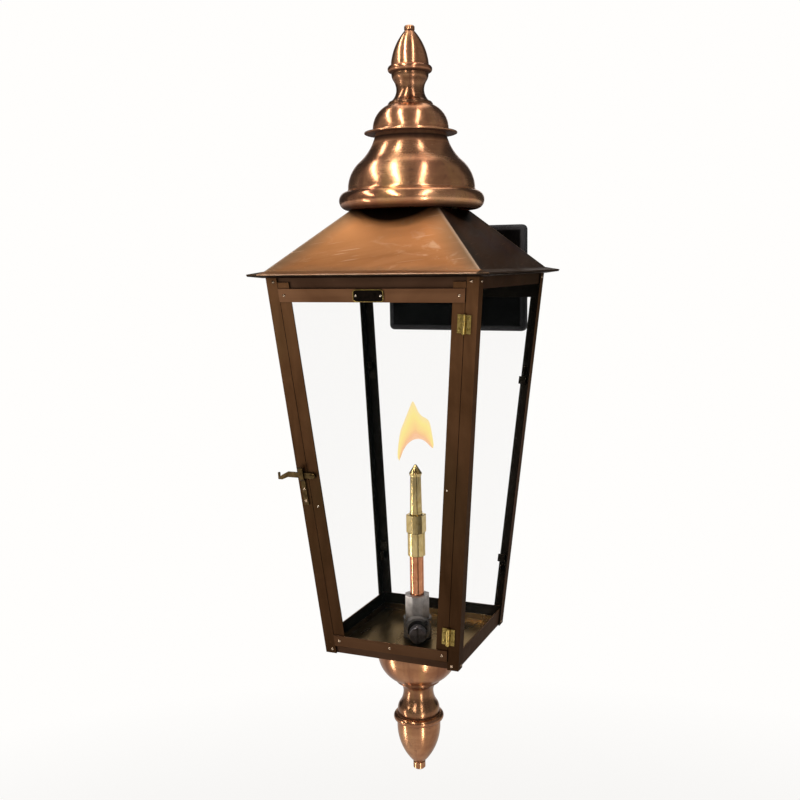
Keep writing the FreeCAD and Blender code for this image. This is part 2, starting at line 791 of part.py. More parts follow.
# Arm: a short bar from the wall plate to the rear top rail, cut to the rail's slope
arm = new_body("wall_arm", LANTERN)
arm_half = s.arm_width / 2
arm_bottom = -(s.arm_drop + s.arm_height)
wall_end = new_sketch(arm, "XZ_Plane", -(s.wall_gap + brim_half))
draw(wall_end, [
    (arm_half, arm_bottom),
    (arm_half, -s.arm_drop),
    (-arm_half, -s.arm_drop),
    (-arm_half, arm_bottom),
])
rail_end = new_sketch(arm, "XZ_Plane", flat_sheet - s.cage_top_half, (Vector(-1, 0, 0), tilt_angle))
draw(rail_end, [
    (arm_half, arm_bottom / slope_cosine),
    (arm_half, -s.arm_drop / slope_cosine),
    (-arm_half, -s.arm_drop / slope_cosine),
    (-arm_half, arm_bottom / slope_cosine),
])
loft(arm, wall_end, rail_end)

# Door: two stiles between the front posts, with rails riveted over their ends
door_inset = s.post_flange + s.door_gap
stile_top = -s.stile_top_drop
stile_bottom = s.stile_bottom_rise - slant
rail_top = -s.door_rail_drop
rail_bottom = rail_top - s.door_rail_height
sill_bottom = s.door_sill_rise - slant
sill_top = sill_bottom + s.door_sill_height
door_rivet_ups = ((rail_top + rail_bottom) / 2, (sill_top + sill_bottom) / 2)
latch_across = half_at(latch_up) - s.latch_inset


def door_rivet_across(up):
    return half_at(up) - door_inset - s.door_rivet_inset


for name, hand in (("left", -1), ("right", 1)):
    outer_high = (half_at(stile_top) - door_inset) * hand
    outer_low = (half_at(stile_bottom) - door_inset) * hand
    width = s.stile_width * hand
    stile_holes = [(door_rivet_across(up) * hand, up, rivet_hole) for up in door_rivet_ups]
    if name == "left":
        stile_holes.append((-latch_across, latch_up, s.latch_pin_radius))
    sheet_piece(f"door_stile_{name}", FACES["front"], [
        (outer_high, stile_top),
        (outer_high - width, stile_top),
        (outer_low - width, stile_bottom),
        (outer_low, stile_bottom),
    ], s.door_sheet * 0, s.door_sheet, stile_holes)
for name, top, bottom, up in (("top", rail_top, rail_bottom, door_rivet_ups[0]),
                              ("bottom", sill_top, sill_bottom, door_rivet_ups[1])):
    rail_holes = [(door_rivet_across(up) * hand, up, rivet_hole) for hand in (-1, 1)]
    if name == "bottom":
        rail_holes.append((0, up, rivet_hole))
    sheet_piece(f"door_rail_{name}", FACES["front"], tapered(top, bottom, door_inset),
                -s.door_sheet, s.door_sheet, rail_holes)

# Door stops: strips behind the posts' flanges that close the gap beside the door
stop_top = -(s.top_rail_height + s.fit_gap)
stop_bottom = s.front_sill_height + s.fit_gap - slant
stop_outer = s.post_flange - s.stop_grip
stop_inner = door_inset + s.stop_lap
for name, hand in (("left", -1), ("right", 1)):
    sheet_piece(f"door_stop_{name}", FACES["front"], [
        ((half_at(stop_top) - stop_outer) * hand, stop_top),
        ((half_at(stop_top) - stop_inner) * hand, stop_top),
        ((half_at(stop_bottom) - stop_inner) * hand, stop_bottom),
        ((half_at(stop_bottom) - stop_outer) * hand, stop_bottom),
    ], s.frame_sheet, s.stop_sheet)

# Door glass: behind the stiles, clear of the fixed rails that stop the door
door_glass_top = -(s.top_rail_height + s.door_glass_relief)
door_glass_bottom = s.front_sill_height + s.door_glass_relief - slant
door_glass_inset = door_inset + s.door_glass_margin
sheet_piece("door_glass", FACES["front"], tapered(door_glass_top, door_glass_bottom, door_glass_inset),
            s.door_sheet, s.glass_sheet)

# Bare badge plate on the door's top rail
badge_half = s.badge_width / 2
badge_up = door_rivet_ups[0]
badge_high = badge_up + s.badge_height / 2
badge_low = badge_up - s.badge_height / 2
round_off = s.badge_corner
sheet_piece("door_badge", FACES["front"], [
    (badge_half - round_off, badge_low, round_off),
    (badge_half, badge_low + round_off),
    (badge_half, badge_high - round_off, round_off),
    (badge_half - round_off, badge_high),
    (round_off - badge_half, badge_high, round_off),
    (-badge_half, badge_high - round_off),
    (-badge_half, badge_low + round_off, round_off),
    (round_off - badge_half, badge_low),
], -(s.door_sheet + s.badge_sheet), s.badge_sheet)

# Hinges: each has a leaf on the post, a leaf on the door and a pin on one shared axis
hinge_inset = s.post_flange + s.door_gap / 2
face_below = s.hinge_knuckle_radius + s.hinge_lift
knuckle_bore = s.hinge_pin_radius + s.running_gap
knuckle = (s.hinge_length - s.fit_gap * 2) / 3
leaf_root = s.hinge_knuckle_radius + s.fit_gap
leaf_end = s.hinge_knuckle_radius + s.hinge_leaf_width


def hinge_frame(up):
    across = half_at(up) - hinge_inset
    return f"{FACES['front']} * {placed(across, -face_below, up, Y_AXIS, edge_angle)}"


def make_leaf(label, frame, outline, knuckle_starts):
    body = new_body(label, frame)
    for start in knuckle_starts:
        ring = new_sketch(body, "XY_Plane", start)
        draw_circle(ring, 0, 0, s.hinge_knuckle_radius)
        draw_circle(ring, 0, 0, knuckle_bore)
        pad(body, ring, knuckle)
    leaf = new_sketch(body, "XZ_Plane", s.hinge_leaf_sheet - face_below)
    draw(leaf, outline)
    pad(body, leaf, s.hinge_leaf_sheet, backwards=True)


def make_hinge(name, up):
    frame = hinge_frame(up)
    top = s.hinge_length / 2
    step = top - knuckle
    notch = step - s.fit_gap
    make_leaf(f"hinge_{name}_post_leaf", frame, [
        (leaf_end, -top),
        (leaf_end, top),
        (0, top),
        (0, step),
        (leaf_root, step),
        (leaf_root, -step),
        (0, -step),
        (0, -top),
    ], (-top, step))
    make_leaf(f"hinge_{name}_door_leaf", frame, [
        (-leaf_end, -top),
        (-leaf_root, -top),
        (-leaf_root, -notch),
        (0, -notch),
        (0, notch),
        (-leaf_root, notch),
        (-leaf_root, top),
        (-leaf_end, top),
    ], (-notch,))
    head = top + s.hinge_pin_head_height
    spin(new_body(f"hinge_{name}_pin", frame), [
        (0, -head),
        (s.hinge_pin_head_radius, -head),
        (s.hinge_pin_head_radius, -top),
        (s.hinge_pin_radius, -top),
        (s.hinge_pin_radius, top),
        (s.hinge_pin_head_radius, top),
        (s.hinge_pin_head_radius, head),
        (0, head),
    ])


make_hinge("upper", -s.hinge_top_drop)
make_hinge("lower", s.hinge_bottom_rise - slant)

# Latch: an arm on a shouldered pin in the left stile, dropped behind the keeper on the post
latch_frame = f"{FACES['front']} * {placed(x=-latch_across, z=latch_up)}"
arm_rise = s.latch_arm_height / 2
hook_end = -(s.latch_reach + s.latch_hook_reach)
hook_bend = -(s.latch_reach + s.latch_hook_reach * 0.6)
hook_low = -(arm_rise + s.latch_hook_drop)
latch_arm = new_body("latch_arm", latch_frame)
arm_outline = new_sketch(latch_arm, "XZ_Plane", s.latch_lift + s.latch_arm_sheet)
draw(arm_outline, [
    (0, -arm_rise, arm_rise),
    (arm_rise, 0, arm_rise),
    (0, arm_rise),
    (-s.latch_reach, arm_rise),
    (hook_bend, -arm_rise / 3),
    (hook_end + s.latch_hook_width, hook_low + arm_rise),
    (hook_end + s.latch_hook_width, arm_rise / 2),
    (hook_end, arm_rise / 2),
    (hook_end, hook_low),
    (hook_bend, hook_low),
    (-s.latch_reach, -arm_rise),
], [(0, 0, s.latch_pin_radius + s.running_gap)])
pad(latch_arm, arm_outline, s.latch_arm_sheet, backwards=True)
pin_frame = f"{latch_frame} * {placed(axis=X_AXIS, angle='90')}"
pin_front = s.latch_lift + s.latch_arm_sheet + s.running_gap * 2
pin_shoulder = s.latch_lift - s.running_gap
spin(new_body("latch_pin", pin_frame), [
    (0, -s.door_sheet),
    (s.latch_pin_radius, -s.door_sheet),
    (s.latch_pin_radius, 0),
    (s.latch_pin_head_radius, 0),
    (s.latch_pin_head_radius, pin_shoulder),
    (s.latch_pin_radius, pin_shoulder),
    (s.latch_pin_radius, pin_front),
    (s.latch_pin_head_radius, pin_front),
    (s.latch_pin_head_radius, pin_front + s.latch_pin_head_height / 2),
    (s.latch_pin_radius, pin_front + s.latch_pin_head_height),
    (0, pin_front + s.latch_pin_head_height),
])

# Keeper: a joggled strap on the left front post that holds the latch arm from the front
keeper_frame = f"{FACES['front']} * " + placed(
    -keeper_across(keeper_step_up), 0, keeper_step_up, Y_AXIS, f"-{edge_angle}")
keeper = new_body("latch_keeper", keeper_frame)
hold = s.latch_lift + s.latch_arm_sheet + s.keeper_gap
hold_top = s.latch_arm_height + s.keeper_gap + s.keeper_hold
thick = s.keeper_sheet
keeper_profile = new_sketch(keeper, "YZ_Plane", -s.keeper_width / 2)
draw(keeper_profile, [
    (0, -s.keeper_length),
    (0, -hold),
    (-hold, 0),
    (-hold, hold_top),
    (-(hold + s.keeper_flare), hold_top + s.keeper_flare),
    (-(hold + s.keeper_flare + thick), hold_top + s.keeper_flare),
    (-(hold + thick), hold_top + thick / 2),
    (-(hold + thick), -thick / 2),
    (-thick, -(hold + thick / 2)),
    (-thick, -s.keeper_length),
])
pad(keeper, keeper_profile, s.keeper_width)
keeper_holes = new_sketch(keeper, "XZ_Plane", thick)
for up in keeper_rivet_ups:
    draw_circle(keeper_holes, 0, (up - keeper_step_up) / slope_cosine, rivet_hole)
pocket(keeper, keeper_holes, thick * 2)

# Gas valve on the floor pan: barrel, eight-sided tube socket, rear inlet and a front boss with a
# notched cup for the knob. It is screwed down to face a little to the right.
VALVE_HEADING = 22.5
NOTCH_ANGLE = 50.0
VALVE = f"{LANTERN} * {placed(z=floor_top, angle=str(VALVE_HEADING))}"
valve = new_body("valve_body", VALVE)
barrel = new_sketch(valve, "XY_Plane")
draw_circle(barrel, 0, 0, s.valve_barrel_radius)
pad(valve, barrel, s.valve_barrel_height)
socket = new_sketch(valve, "XY_Plane", s.valve_barrel_height)
draw_polygon(socket, s.valve_socket_half, 8)
pad(valve, socket, s.valve_socket_height)
boss = new_sketch(valve, "XZ_Plane")
draw_circle(boss, 0, s.valve_boss_rise, s.valve_boss_radius)
pad(valve, boss, s.valve_boss_reach)
inlet = new_sketch(valve, "XZ_Plane")
draw_circle(inlet, 0, s.valve_boss_rise, s.inlet_boss_radius)
pad(valve, inlet, s.inlet_boss_reach, backwards=True)
valve_top = s.valve_barrel_height + s.valve_socket_height
tube_socket = new_sketch(valve, "XY_Plane", valve_top)
draw_circle(tube_socket, 0, 0, s.riser_radius + s.running_gap)
pocket(valve, tube_socket, s.valve_socket_depth)
cup = new_sketch(valve, "XZ_Plane", s.valve_boss_reach)
draw_circle(cup, 0, s.valve_boss_rise, s.valve_cup_radius)
pocket(valve, cup, s.valve_cup_depth)
notch = new_sketch(valve, "XZ_Plane", s.valve_boss_reach)
notch_out = (math.sin(math.radians(NOTCH_ANGLE)), math.cos(math.radians(NOTCH_ANGLE)))
notch_half = s.valve_notch_width / 2
notch_start = s.valve_cup_radius - notch_half
notch_end = s.valve_boss_radius + notch_half
draw(notch, [
    (reach * notch_out[0] + notch_half * notch_out[1] * hand,
     s.valve_boss_rise + reach * notch_out[1] - notch_half * notch_out[0] * hand)
    for reach, hand in ((notch_start, 1), (notch_end, 1), (notch_end, -1), (notch_start, -1))])
pocket(valve, notch, s.valve_cup_depth)
spindle_bore = new_sketch(valve, "XZ_Plane", s.valve_boss_reach - s.valve_cup_depth)
draw_circle(spindle_bore, 0, s.valve_boss_rise, s.knob_spindle_radius + s.running_gap)
pocket(valve, spindle_bore, s.knob_spindle_length + s.fit_gap)
inlet_bore = new_sketch(valve, "XZ_Plane", -s.inlet_boss_reach)
draw_circle(inlet_bore, 0, s.valve_boss_rise, s.inlet_bore_radius)
pocket(valve, inlet_bore, s.inlet_bore_depth, backwards=True)
rod_bore = new_sketch(valve, "XY_Plane")
draw_circle(rod_bore, 0, 0, s.low_rod_radius + s.running_gap)
pocket(valve, rod_bore, s.low_rod_thread + s.fit_gap, backwards=True)

# Valve knob: a slotted head on a neck, on a spindle in the boss
knob_face = s.valve_boss_reach - s.valve_cup_depth + s.fit_gap
knob_frame = f"{VALVE} * {placed(y=-knob_face, z=s.valve_boss_rise, axis=X_AXIS, angle='90')}"
knob = new_body("valve_knob", knob_frame)
knob_foot = -(s.fit_gap + s.knob_spindle_length)
knob_shoulder = s.knob_neck_length + (s.knob_radius - s.knob_neck_radius) / 2
spin(knob, [
    (0, knob_foot),
    (s.knob_spindle_radius, knob_foot),
    (s.knob_spindle_radius, 0),
    (s.knob_neck_radius, 0),
    (s.knob_neck_radius, s.knob_neck_length),
    (s.knob_radius, knob_shoulder),
    (s.knob_radius, s.knob_length - s.knob_chamfer),
    (s.knob_radius - s.knob_chamfer, s.knob_length),
    (0, s.knob_length),
])
slot = new_sketch(knob, "XY_Plane", s.knob_length)
slot_half = s.knob_slot_width / 2
slot_reach = s.knob_radius + s.knob_chamfer
draw(slot, [
    (slot_half, -slot_reach),
    (slot_half, slot_reach),
    (-slot_half, slot_reach),
    (-slot_half, -slot_reach),
])
pocket(knob, slot, s.knob_slot_depth)

# Burner: copper riser, brass sleeve, hexagon nut and tapered tip with a conical cap
riser_base = floor_top + valve_top - s.valve_socket_depth
riser_length = s.valve_socket_depth + s.riser_show + s.sleeve_socket_depth
riser_bore = s.riser_radius - s.riser_wall
spin(new_body("riser_tube", f"{LANTERN} * {placed(z=riser_base)}"), [
    (riser_bore, 0),
    (s.riser_radius, 0),
    (s.riser_radius, riser_length),
    (riser_bore, riser_length),
])
sleeve_base = floor_top + valve_top + s.riser_show
sleeve_bore = s.riser_radius + s.running_gap
spin(new_body("burner_sleeve", f"{LANTERN} * {placed(z=sleeve_base)}"), [
    (sleeve_bore, 0),
    (s.sleeve_radius, 0),
    (s.sleeve_radius, s.sleeve_height),
    (s.gas_way_radius, s.sleeve_height),
    (s.gas_way_radius, s.sleeve_socket_depth),
    (sleeve_bore, s.sleeve_socket_depth),
])
nut_base = sleeve_base + s.sleeve_height
nut = new_body("burner_nut", f"{LANTERN} * {placed(z=nut_base)}")
nut_sketch = new_sketch(nut, "XY_Plane")
draw_polygon(nut_sketch, s.burner_nut_half, 6)
draw_circle(nut_sketch, 0, 0, s.gas_way_radius)
pad(nut, nut_sketch, s.burner_nut_height)
tip_base = nut_base + s.burner_nut_height
spin(new_body("burner_tip", f"{LANTERN} * {placed(z=tip_base)}"), [
    (0, s.gas_way_radius),
    (s.gas_way_radius, 0),
    (s.burner_foot_radius, 0),
    (s.burner_neck_radius, s.burner_neck_rise),
    (s.burner_cap_radius, s.burner_cap_rise),
    (s.gas_way_radius / 3, s.burner_height),
    (0, s.burner_height),
])

doc.recompute()


# Groups of like small pieces, each a set of separate solids
def face_place(side, across, depth, up, lean_angle=0.0):
    frame = doc.getObject(f"{side}_face").Placement
    return frame * Placement(Vector(across, depth, up), Rotation(Vector(0, 1, 0), lean_angle))


def add_group(label, shapes):
    group = doc.addObject("Part::Feature", label)
    group.Label = label
    group.Shape = Part.makeCompound(shapes)
    parts.append(group)


def rivet(side, across, up, front, grip):
    """A rivet whose domed head sits on a sheet at a depth, with a shank as long as the sheets it joins."""
    head_radius = s.rivet_head_radius.value
    rise = s.rivet_head_height.value
    shank = Part.makeCylinder(s.rivet_shank_radius.value, grip.value, Vector(), Vector(0, 1, 0))
    ball_radius = (head_radius ** 2 + rise ** 2) / (2 * rise)
    ball = Part.makeSphere(ball_radius, Vector(0, ball_radius - rise, 0))
    block = Part.makeBox(head_radius * 2, rise, head_radius * 2, Vector(-head_radius, -rise, -head_radius))
    shape = ball.common(block).fuse(shank).removeSplitter()
    shape.Placement = face_place(side, across.value, front.value, up.value)
    return shape


frame_rivets = []
for side in SIDES:
    for up in rivet_rows:
        across = half_at(up) - s.rivet_inset
        for hand in (-1, 1):
            frame_rivets.append(rivet(side, across * hand, up, s.frame_sheet * 0, s.frame_sheet * 2))
for up in keeper_rivet_ups:
    keeper_grip = s.keeper_sheet + s.frame_sheet
    frame_rivets.append(rivet("front", -keeper_across(up), up, -s.keeper_sheet, keeper_grip))
add_group("frame_rivets", frame_rivets)
door_rivets = [
    rivet("front", door_rivet_across(up) * hand, up, -s.door_sheet, s.door_sheet * 2)
    for up in door_rivet_ups for hand in (-1, 1)]
door_rivets.append(rivet("front", s.door_sheet * 0, door_rivet_ups[1], -s.door_sheet, s.door_sheet))
add_group("door_rivets", door_rivets)


def clip(side, edge_across, hand, up, back, stem_gap):
    """A folded tab: its stem stands on the sheet behind a pane's edge and its end laps the glass."""
    thick = s.clip_sheet.value
    tall = s.glass_sheet.value + s.fit_gap.value + back.value
    fold = stem_gap.value + thick + s.clip_reach.value
    outline = [
        (-thick, 0), (0, 0), (0, tall),
        (fold - thick, tall), (fold - thick, tall + thick), (-thick, tall + thick),
    ]
    corners = [Vector(-hand * x, y, 0) for x, y in outline]
    shape = Part.Face(Part.makePolygon(corners + corners[:1])).extrude(Vector(0, 0, s.clip_length.value))
    lean_angle = hand * math.degrees(math.atan(taper.value))
    start = pane_depth.value - back.value if side != "front" else s.door_sheet.value
    shape.Placement = face_place(side, hand * edge_across.value, start, up.value, lean_angle)
    return shape


glass_clips = []
for side in ("right", "rear", "left"):
    shift = s.clip_stagger if side == "rear" else s.clip_stagger * 0
    for up in (-(s.clip_upper_drop + shift), s.clip_lower_rise + shift - slant):
        across = half_at(up) - s.clip_stem_inset - s.clip_sheet
        stem_gap = s.glass_corner_gap - s.clip_stem_inset - s.clip_sheet
        glass_clips += [clip(side, across, hand, up, s.frame_sheet, stem_gap) for hand in (-1, 1)]
add_group("glass_clips", glass_clips)
door_clips = []
for up in (-s.clip_upper_drop, -s.door_clip_drop, s.clip_lower_rise - slant):
    across = half_at(up) - door_inset - s.door_clip_inset - s.clip_sheet
    stem_gap = s.door_glass_margin - s.door_clip_inset - s.clip_sheet
    door_clips += [clip("front", across, hand, up, s.door_sheet * 0, stem_gap) for hand in (-1, 1)]
add_group("door_clips", door_clips)

doc.recompute()
for item in doc.Objects:
    if "Invalid" in item.State or "Error" in item.State:
        raise RuntimeError(f"{item.Label} did not rebuild: {item.State}")
for part in parts:
    if part.Shape.isNull() or not part.Shape.isValid():
        raise RuntimeError(f"{part.Label} has no valid shape")
os.makedirs("parts", exist_ok=True)
for part in parts:
    part.Shape.exportStep(f"parts/{part.Label}.step")
print(len(parts), "sub-parts")
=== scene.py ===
"""Looks of the wall lantern: materials, spun copper, flame, small hardware, light and camera."""

import math

import bmesh
import bpy
from mathutils import Matrix, Vector


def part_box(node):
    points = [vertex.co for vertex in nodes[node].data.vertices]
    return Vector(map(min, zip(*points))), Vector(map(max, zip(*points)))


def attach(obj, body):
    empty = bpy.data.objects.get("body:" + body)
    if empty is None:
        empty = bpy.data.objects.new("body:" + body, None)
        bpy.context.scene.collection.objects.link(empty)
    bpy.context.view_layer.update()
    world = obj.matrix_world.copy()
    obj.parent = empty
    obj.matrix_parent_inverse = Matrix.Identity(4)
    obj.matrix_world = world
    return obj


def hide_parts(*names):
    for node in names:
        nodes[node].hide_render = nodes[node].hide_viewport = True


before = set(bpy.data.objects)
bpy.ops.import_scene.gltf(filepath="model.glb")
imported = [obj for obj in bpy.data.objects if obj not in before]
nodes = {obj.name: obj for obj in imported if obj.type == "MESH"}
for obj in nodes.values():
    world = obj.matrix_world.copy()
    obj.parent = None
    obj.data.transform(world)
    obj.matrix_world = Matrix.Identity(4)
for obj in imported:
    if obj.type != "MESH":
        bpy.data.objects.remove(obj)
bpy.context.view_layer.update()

# The lantern's upright axis and its eave, in metres
MM = 0.001
UP = Vector((0, 0, 1))
AXIS = Vector((0.0, -0.1444, 0.0))
EAVE = 0.008

# The cage, in millimetres: its four faces lean inward from the eave down
TOP_HALF = 117.0
BOTTOM_HALF = 78.0
CAGE_HEIGHT = 416.0
LEAN = TOP_HALF - BOTTOM_HALF
SLANT = math.hypot(LEAN, CAGE_HEIGHT)
TAPER = LEAN / SLANT
TILT = math.atan2(LEAN, CAGE_HEIGHT)
CAGE_FOOT = EAVE - CAGE_HEIGHT * MM

# The frame of the cage's front face: x across, y inward, z up its slope, in millimetres
FRONT_TOP = Matrix.Translation(AXIS + Vector((0, -TOP_HALF * MM, EAVE)))
FRONT_FACE = FRONT_TOP @ Matrix.Rotation(TILT, 4, "X") @ Matrix.Scale(MM, 4)

# Heights of the spun copper, in millimetres: the bell is above the eave, the bowl hangs under the cage
BELL_BASE = 69.0
BELL_HEIGHT = 80.5
CAP_HEIGHT = 30.0
TOP_NECK_HEIGHT = 33.5
BOWL_HEIGHT = 48.5
LOW_NECK_HEIGHT = 42.3
CAP_Z = EAVE + (BELL_BASE + BELL_HEIGHT) * MM


def half_at(up):
    """Half the width of a cage face, in millimetres, at a place up its slope."""
    return TOP_HALF + up * TAPER


class Nodes:
    """Short ways to build a node tree. Each value is a socket to link or a constant to set."""

    def __init__(self, tree):
        self.tree = tree

    def feed(self, socket, value):
        if isinstance(value, bpy.types.NodeSocket):
            self.tree.links.new(value, socket)
        else:
            socket.default_value = value

    def node(self, kind, settings=(), **inputs):
        made = self.tree.nodes.new(kind)
        for key, value in dict(settings).items():
            setattr(made, key, value)
        for key, value in inputs.items():
            self.feed(made.inputs[key], value)
        return made

    def calc(self, operation, first, second=0.0):
        made = self.node("ShaderNodeMath", {"operation": operation})
        self.feed(made.inputs[0], first)
        self.feed(made.inputs[1], second)
        return made.outputs[0]

    def plus(self, first, second):
        return self.calc("ADD", first, second)

    def minus(self, first, second):
        return self.calc("SUBTRACT", first, second)

    def times(self, first, second):
        return self.calc("MULTIPLY", first, second)

    def over(self, first, second):
        return self.calc("DIVIDE", first, second)

    def larger(self, first, second):
        return self.calc("MAXIMUM", first, second)

    def past(self, value, limit):
        """1 where a value is greater than a limit, else 0."""
        return self.calc("GREATER_THAN", value, limit)

    def size_of(self, value):
        return self.calc("ABSOLUTE", value)

    def length(self, x, y):
        return self.calc("SQRT", self.plus(self.times(x, x), self.times(y, y)))

    def blend(self, first, second, share):
        """A mix of two values, with the given share of the first."""
        return self.plus(self.times(first, share), self.times(second, 1 - share))

    def vector(self, operation, first, second=(0, 0, 0)):
        made = self.node("ShaderNodeVectorMath", {"operation": operation})
        self.feed(made.inputs[0], first)
        self.feed(made.inputs[1], second)
        return made.outputs["Value" if operation == "DOT_PRODUCT" else "Vector"]

    def parts(self, vector):
        """The x, y and z of a vector."""
        made = self.node("ShaderNodeSeparateXYZ")
        self.feed(made.inputs[0], vector)
        return list(made.outputs)

    def join(self, x, y, z):
        return self.node("ShaderNodeCombineXYZ", X=x, Y=y, Z=z).outputs[0]

    def ramp(self, value, *stops):
        """Maps a value through stops, each a place and a colour or grey level."""
        made = self.node("ShaderNodeValToRGB", Fac=value)
        elements = made.color_ramp.elements
        for index, (place, tone) in enumerate(stops):
            stop = elements[index] if index < 2 else elements.new(place)
            stop.position = place
            colour = tone if isinstance(tone, tuple) else (tone, tone, tone)
            stop.color = (*colour, 1.0)
        return made.outputs["Color"]


class Paint(Nodes):
    """A procedural material on one Principled shader, with its patterns laid out in metres."""

    def __init__(self, name, **fixed):
        self.material = bpy.data.materials.new(name)
        self.material.use_nodes = True
        super().__init__(self.material.node_tree)
        self.shader = self.tree.nodes["Principled BSDF"]
        self.place = self.node("ShaderNodeTexCoord").outputs["Object"]
        for socket, value in fixed.items():
            self.set(socket.replace("_", " ").title().replace("Ior", "IOR"), value)

    def set(self, socket, value):
        self.feed(self.shader.inputs[socket], value)

    def noise(self, scale, detail=4.0, rough=0.55, place=None, twist=0.0):
        """A noise from 0 to 1. The scale is one number, or three to stretch it, in features per metre."""
        place = place or self.place
        if isinstance(scale, tuple):
            place = self.node("ShaderNodeMapping", Vector=place, Scale=scale).outputs["Vector"]
            scale = 1.0
        made = self.node("ShaderNodeTexNoise", Vector=place, Scale=scale, Detail=detail)
        self.feed(made.inputs["Roughness"], rough)
        self.feed(made.inputs["Distortion"], twist)
        return made.outputs["Fac"]

    def mix(self, amount, first, second, blend="MIX"):
        made = self.node("ShaderNodeMix", {"data_type": "RGBA", "blend_type": blend})
        for index, value in ((0, amount), (6, first), (7, second)):
            self.feed(made.inputs[index], (*value, 1.0) if isinstance(value, tuple) else value)
        return made.outputs[2]

    def stain(self, colour, tone, value, *stops):
        """Lays a tone over a colour, by an amount that a value picks from stops."""
        return self.mix(self.ramp(value, *stops), colour, tone)

    def tint(self, colour, level):
        """A colour made lighter or darker by a level."""
        level = (level, level, level) if isinstance(level, float) else level
        return self.mix(1.0, colour, level, "MULTIPLY")

    def bump(self, height, strength, distance):
        made = self.node("ShaderNodeBump", Height=height, Strength=strength, Distance=distance)
        self.set("Normal", made.outputs["Normal"])

    def from_axis(self):
        """The x, y and z of the place, measured from the lantern's own upright axis."""
        return self.parts(self.vector("SUBTRACT", self.place, AXIS))

    def face_normal(self):
        return self.node("ShaderNodeNewGeometry").outputs["True Normal"]

    def upward(self):
        """1 on faces that look up, 0 on upright ones and -1 on those that look down."""
        return self.parts(self.face_normal())[2]

    def inside(self):
        """1 on faces that look towards the lantern's axis, 0 on those that look outward."""
        x, y, _ = self.from_axis()
        outward = self.vector("NORMALIZE", self.join(x, y, 0.0))
        facing = self.vector("DOT_PRODUCT", outward, self.face_normal())
        return self.ramp(self.plus(self.times(facing, 0.5), 0.5), (0.42, 1.0), (0.56, 0.0))

    def crevice(self, reach, strength=0.85):
        """Grime and painted shade that gather in corners, laps and seams within a reach in metres."""
        made = self.node("ShaderNodeAmbientOcclusion", {"samples": 6}, Distance=reach)
        return self.ramp(made.outputs["AO"], (0.35, strength), (0.85, 0.0))


# Materials: colours are linear red, green and blue, and tones are stops of a ramp, each a place and a colour

# Dark patina reflects less at a shallow view than clean metal does
DULL_EDGE = (0.55, 0.52, 0.50, 1.0)

# Spun copper: colours, and the painted shadow below the cap by depth in metres
SPUN_TONES = ((0.25, (0.39, 0.165, 0.084)), (0.5, (0.59, 0.285, 0.145)), (0.75, (0.73, 0.40, 0.22)))
SPUN_BROWN = (0.24, 0.095, 0.055)
SPUN_GOLD = (0.66, 0.37, 0.145)
SPUN_BAND = (0.26, 0.095, 0.055)
SPUN_SPOT = (0.15, 0.062, 0.042)
SPUN_SOOT_AND_SHADE = (0.025, 0.012, 0.009)
CAP_SHADOW = ((0.0, 0.0), (0.0004, 1.0), (0.007, 0.97), (0.013, 0.0))


def spun_soot_and_shade(paint, z):
    """Soot and painted shade in the seams, painted shade on faces that look down above the eave, and a
    painted shadow in a band below the cap.
    """
    beneath = paint.ramp(paint.times(paint.upward(), -1.0), (0.25, 0.0), (0.8, 0.9))
    beneath = paint.times(beneath, paint.past(z, EAVE))
    below_cap = paint.ramp(paint.minus(CAP_Z, z), *CAP_SHADOW)
    return paint.larger(paint.crevice(reach=0.02, strength=0.95), paint.larger(beneath, below_cap))


def spun_copper(name, depth):
    """Polished antique copper: fine rings round the axis draw each highlight out into an upright streak."""
    paint = Paint(name, specular_ior_level=0.05, anisotropic=0.6, anisotropic_rotation=0.25)
    tangent = paint.node("ShaderNodeTangent", {"direction_type": "RADIAL", "axis": "Z"})
    paint.set("Tangent", tangent.outputs["Tangent"])
    x, y, z = paint.from_axis()
    radius = paint.length(x, y)
    ringed = paint.join(radius, 0.0, z)
    upright = paint.join(paint.over(x, radius), paint.over(y, radius), z)
    rings = paint.noise(1400.0, detail=3.0, rough=0.7, place=ringed)
    bands = paint.noise(95.0, detail=3.0, rough=0.6, place=ringed)
    streaks = paint.noise((3.2, 3.2, 7.0), detail=3.0, place=upright)
    mottle = paint.noise(26.0, detail=5.0, rough=0.6, twist=0.6)
    spots = paint.noise(180.0, detail=3.0, rough=0.5)
    colour = paint.ramp(mottle, *SPUN_TONES)
    colour = paint.stain(colour, SPUN_BROWN, streaks, (0.30, 0.7), (0.48, 0.0))
    colour = paint.stain(colour, SPUN_GOLD, streaks, (0.54, 0.0), (0.70, 0.6))
    colour = paint.stain(colour, SPUN_BAND, bands, (0.38, 0.0), (0.7, 0.45))
    colour = paint.stain(colour, SPUN_SPOT, spots, (0.60, 0.0), (0.76, 0.45))
    soot_and_shade = spun_soot_and_shade(paint, z)
    # Soot and painted shade darken the copper and take away its shine; the depth makes this copy lighter or
    # darker
    paint.set("Base Color", paint.mix(soot_and_shade, paint.tint(colour, depth), SPUN_SOOT_AND_SHADE))
    paint.set("Metallic", paint.minus(1.0, soot_and_shade))
    polish = paint.ramp(paint.blend(rings, mottle, share=0.3), (0.3, 0.18), (0.7, 0.32))
    paint.set("Roughness", paint.larger(polish, paint.times(soot_and_shade, 0.8)))
    paint.bump(rings, strength=0.03, distance=0.0002)
    return paint.material


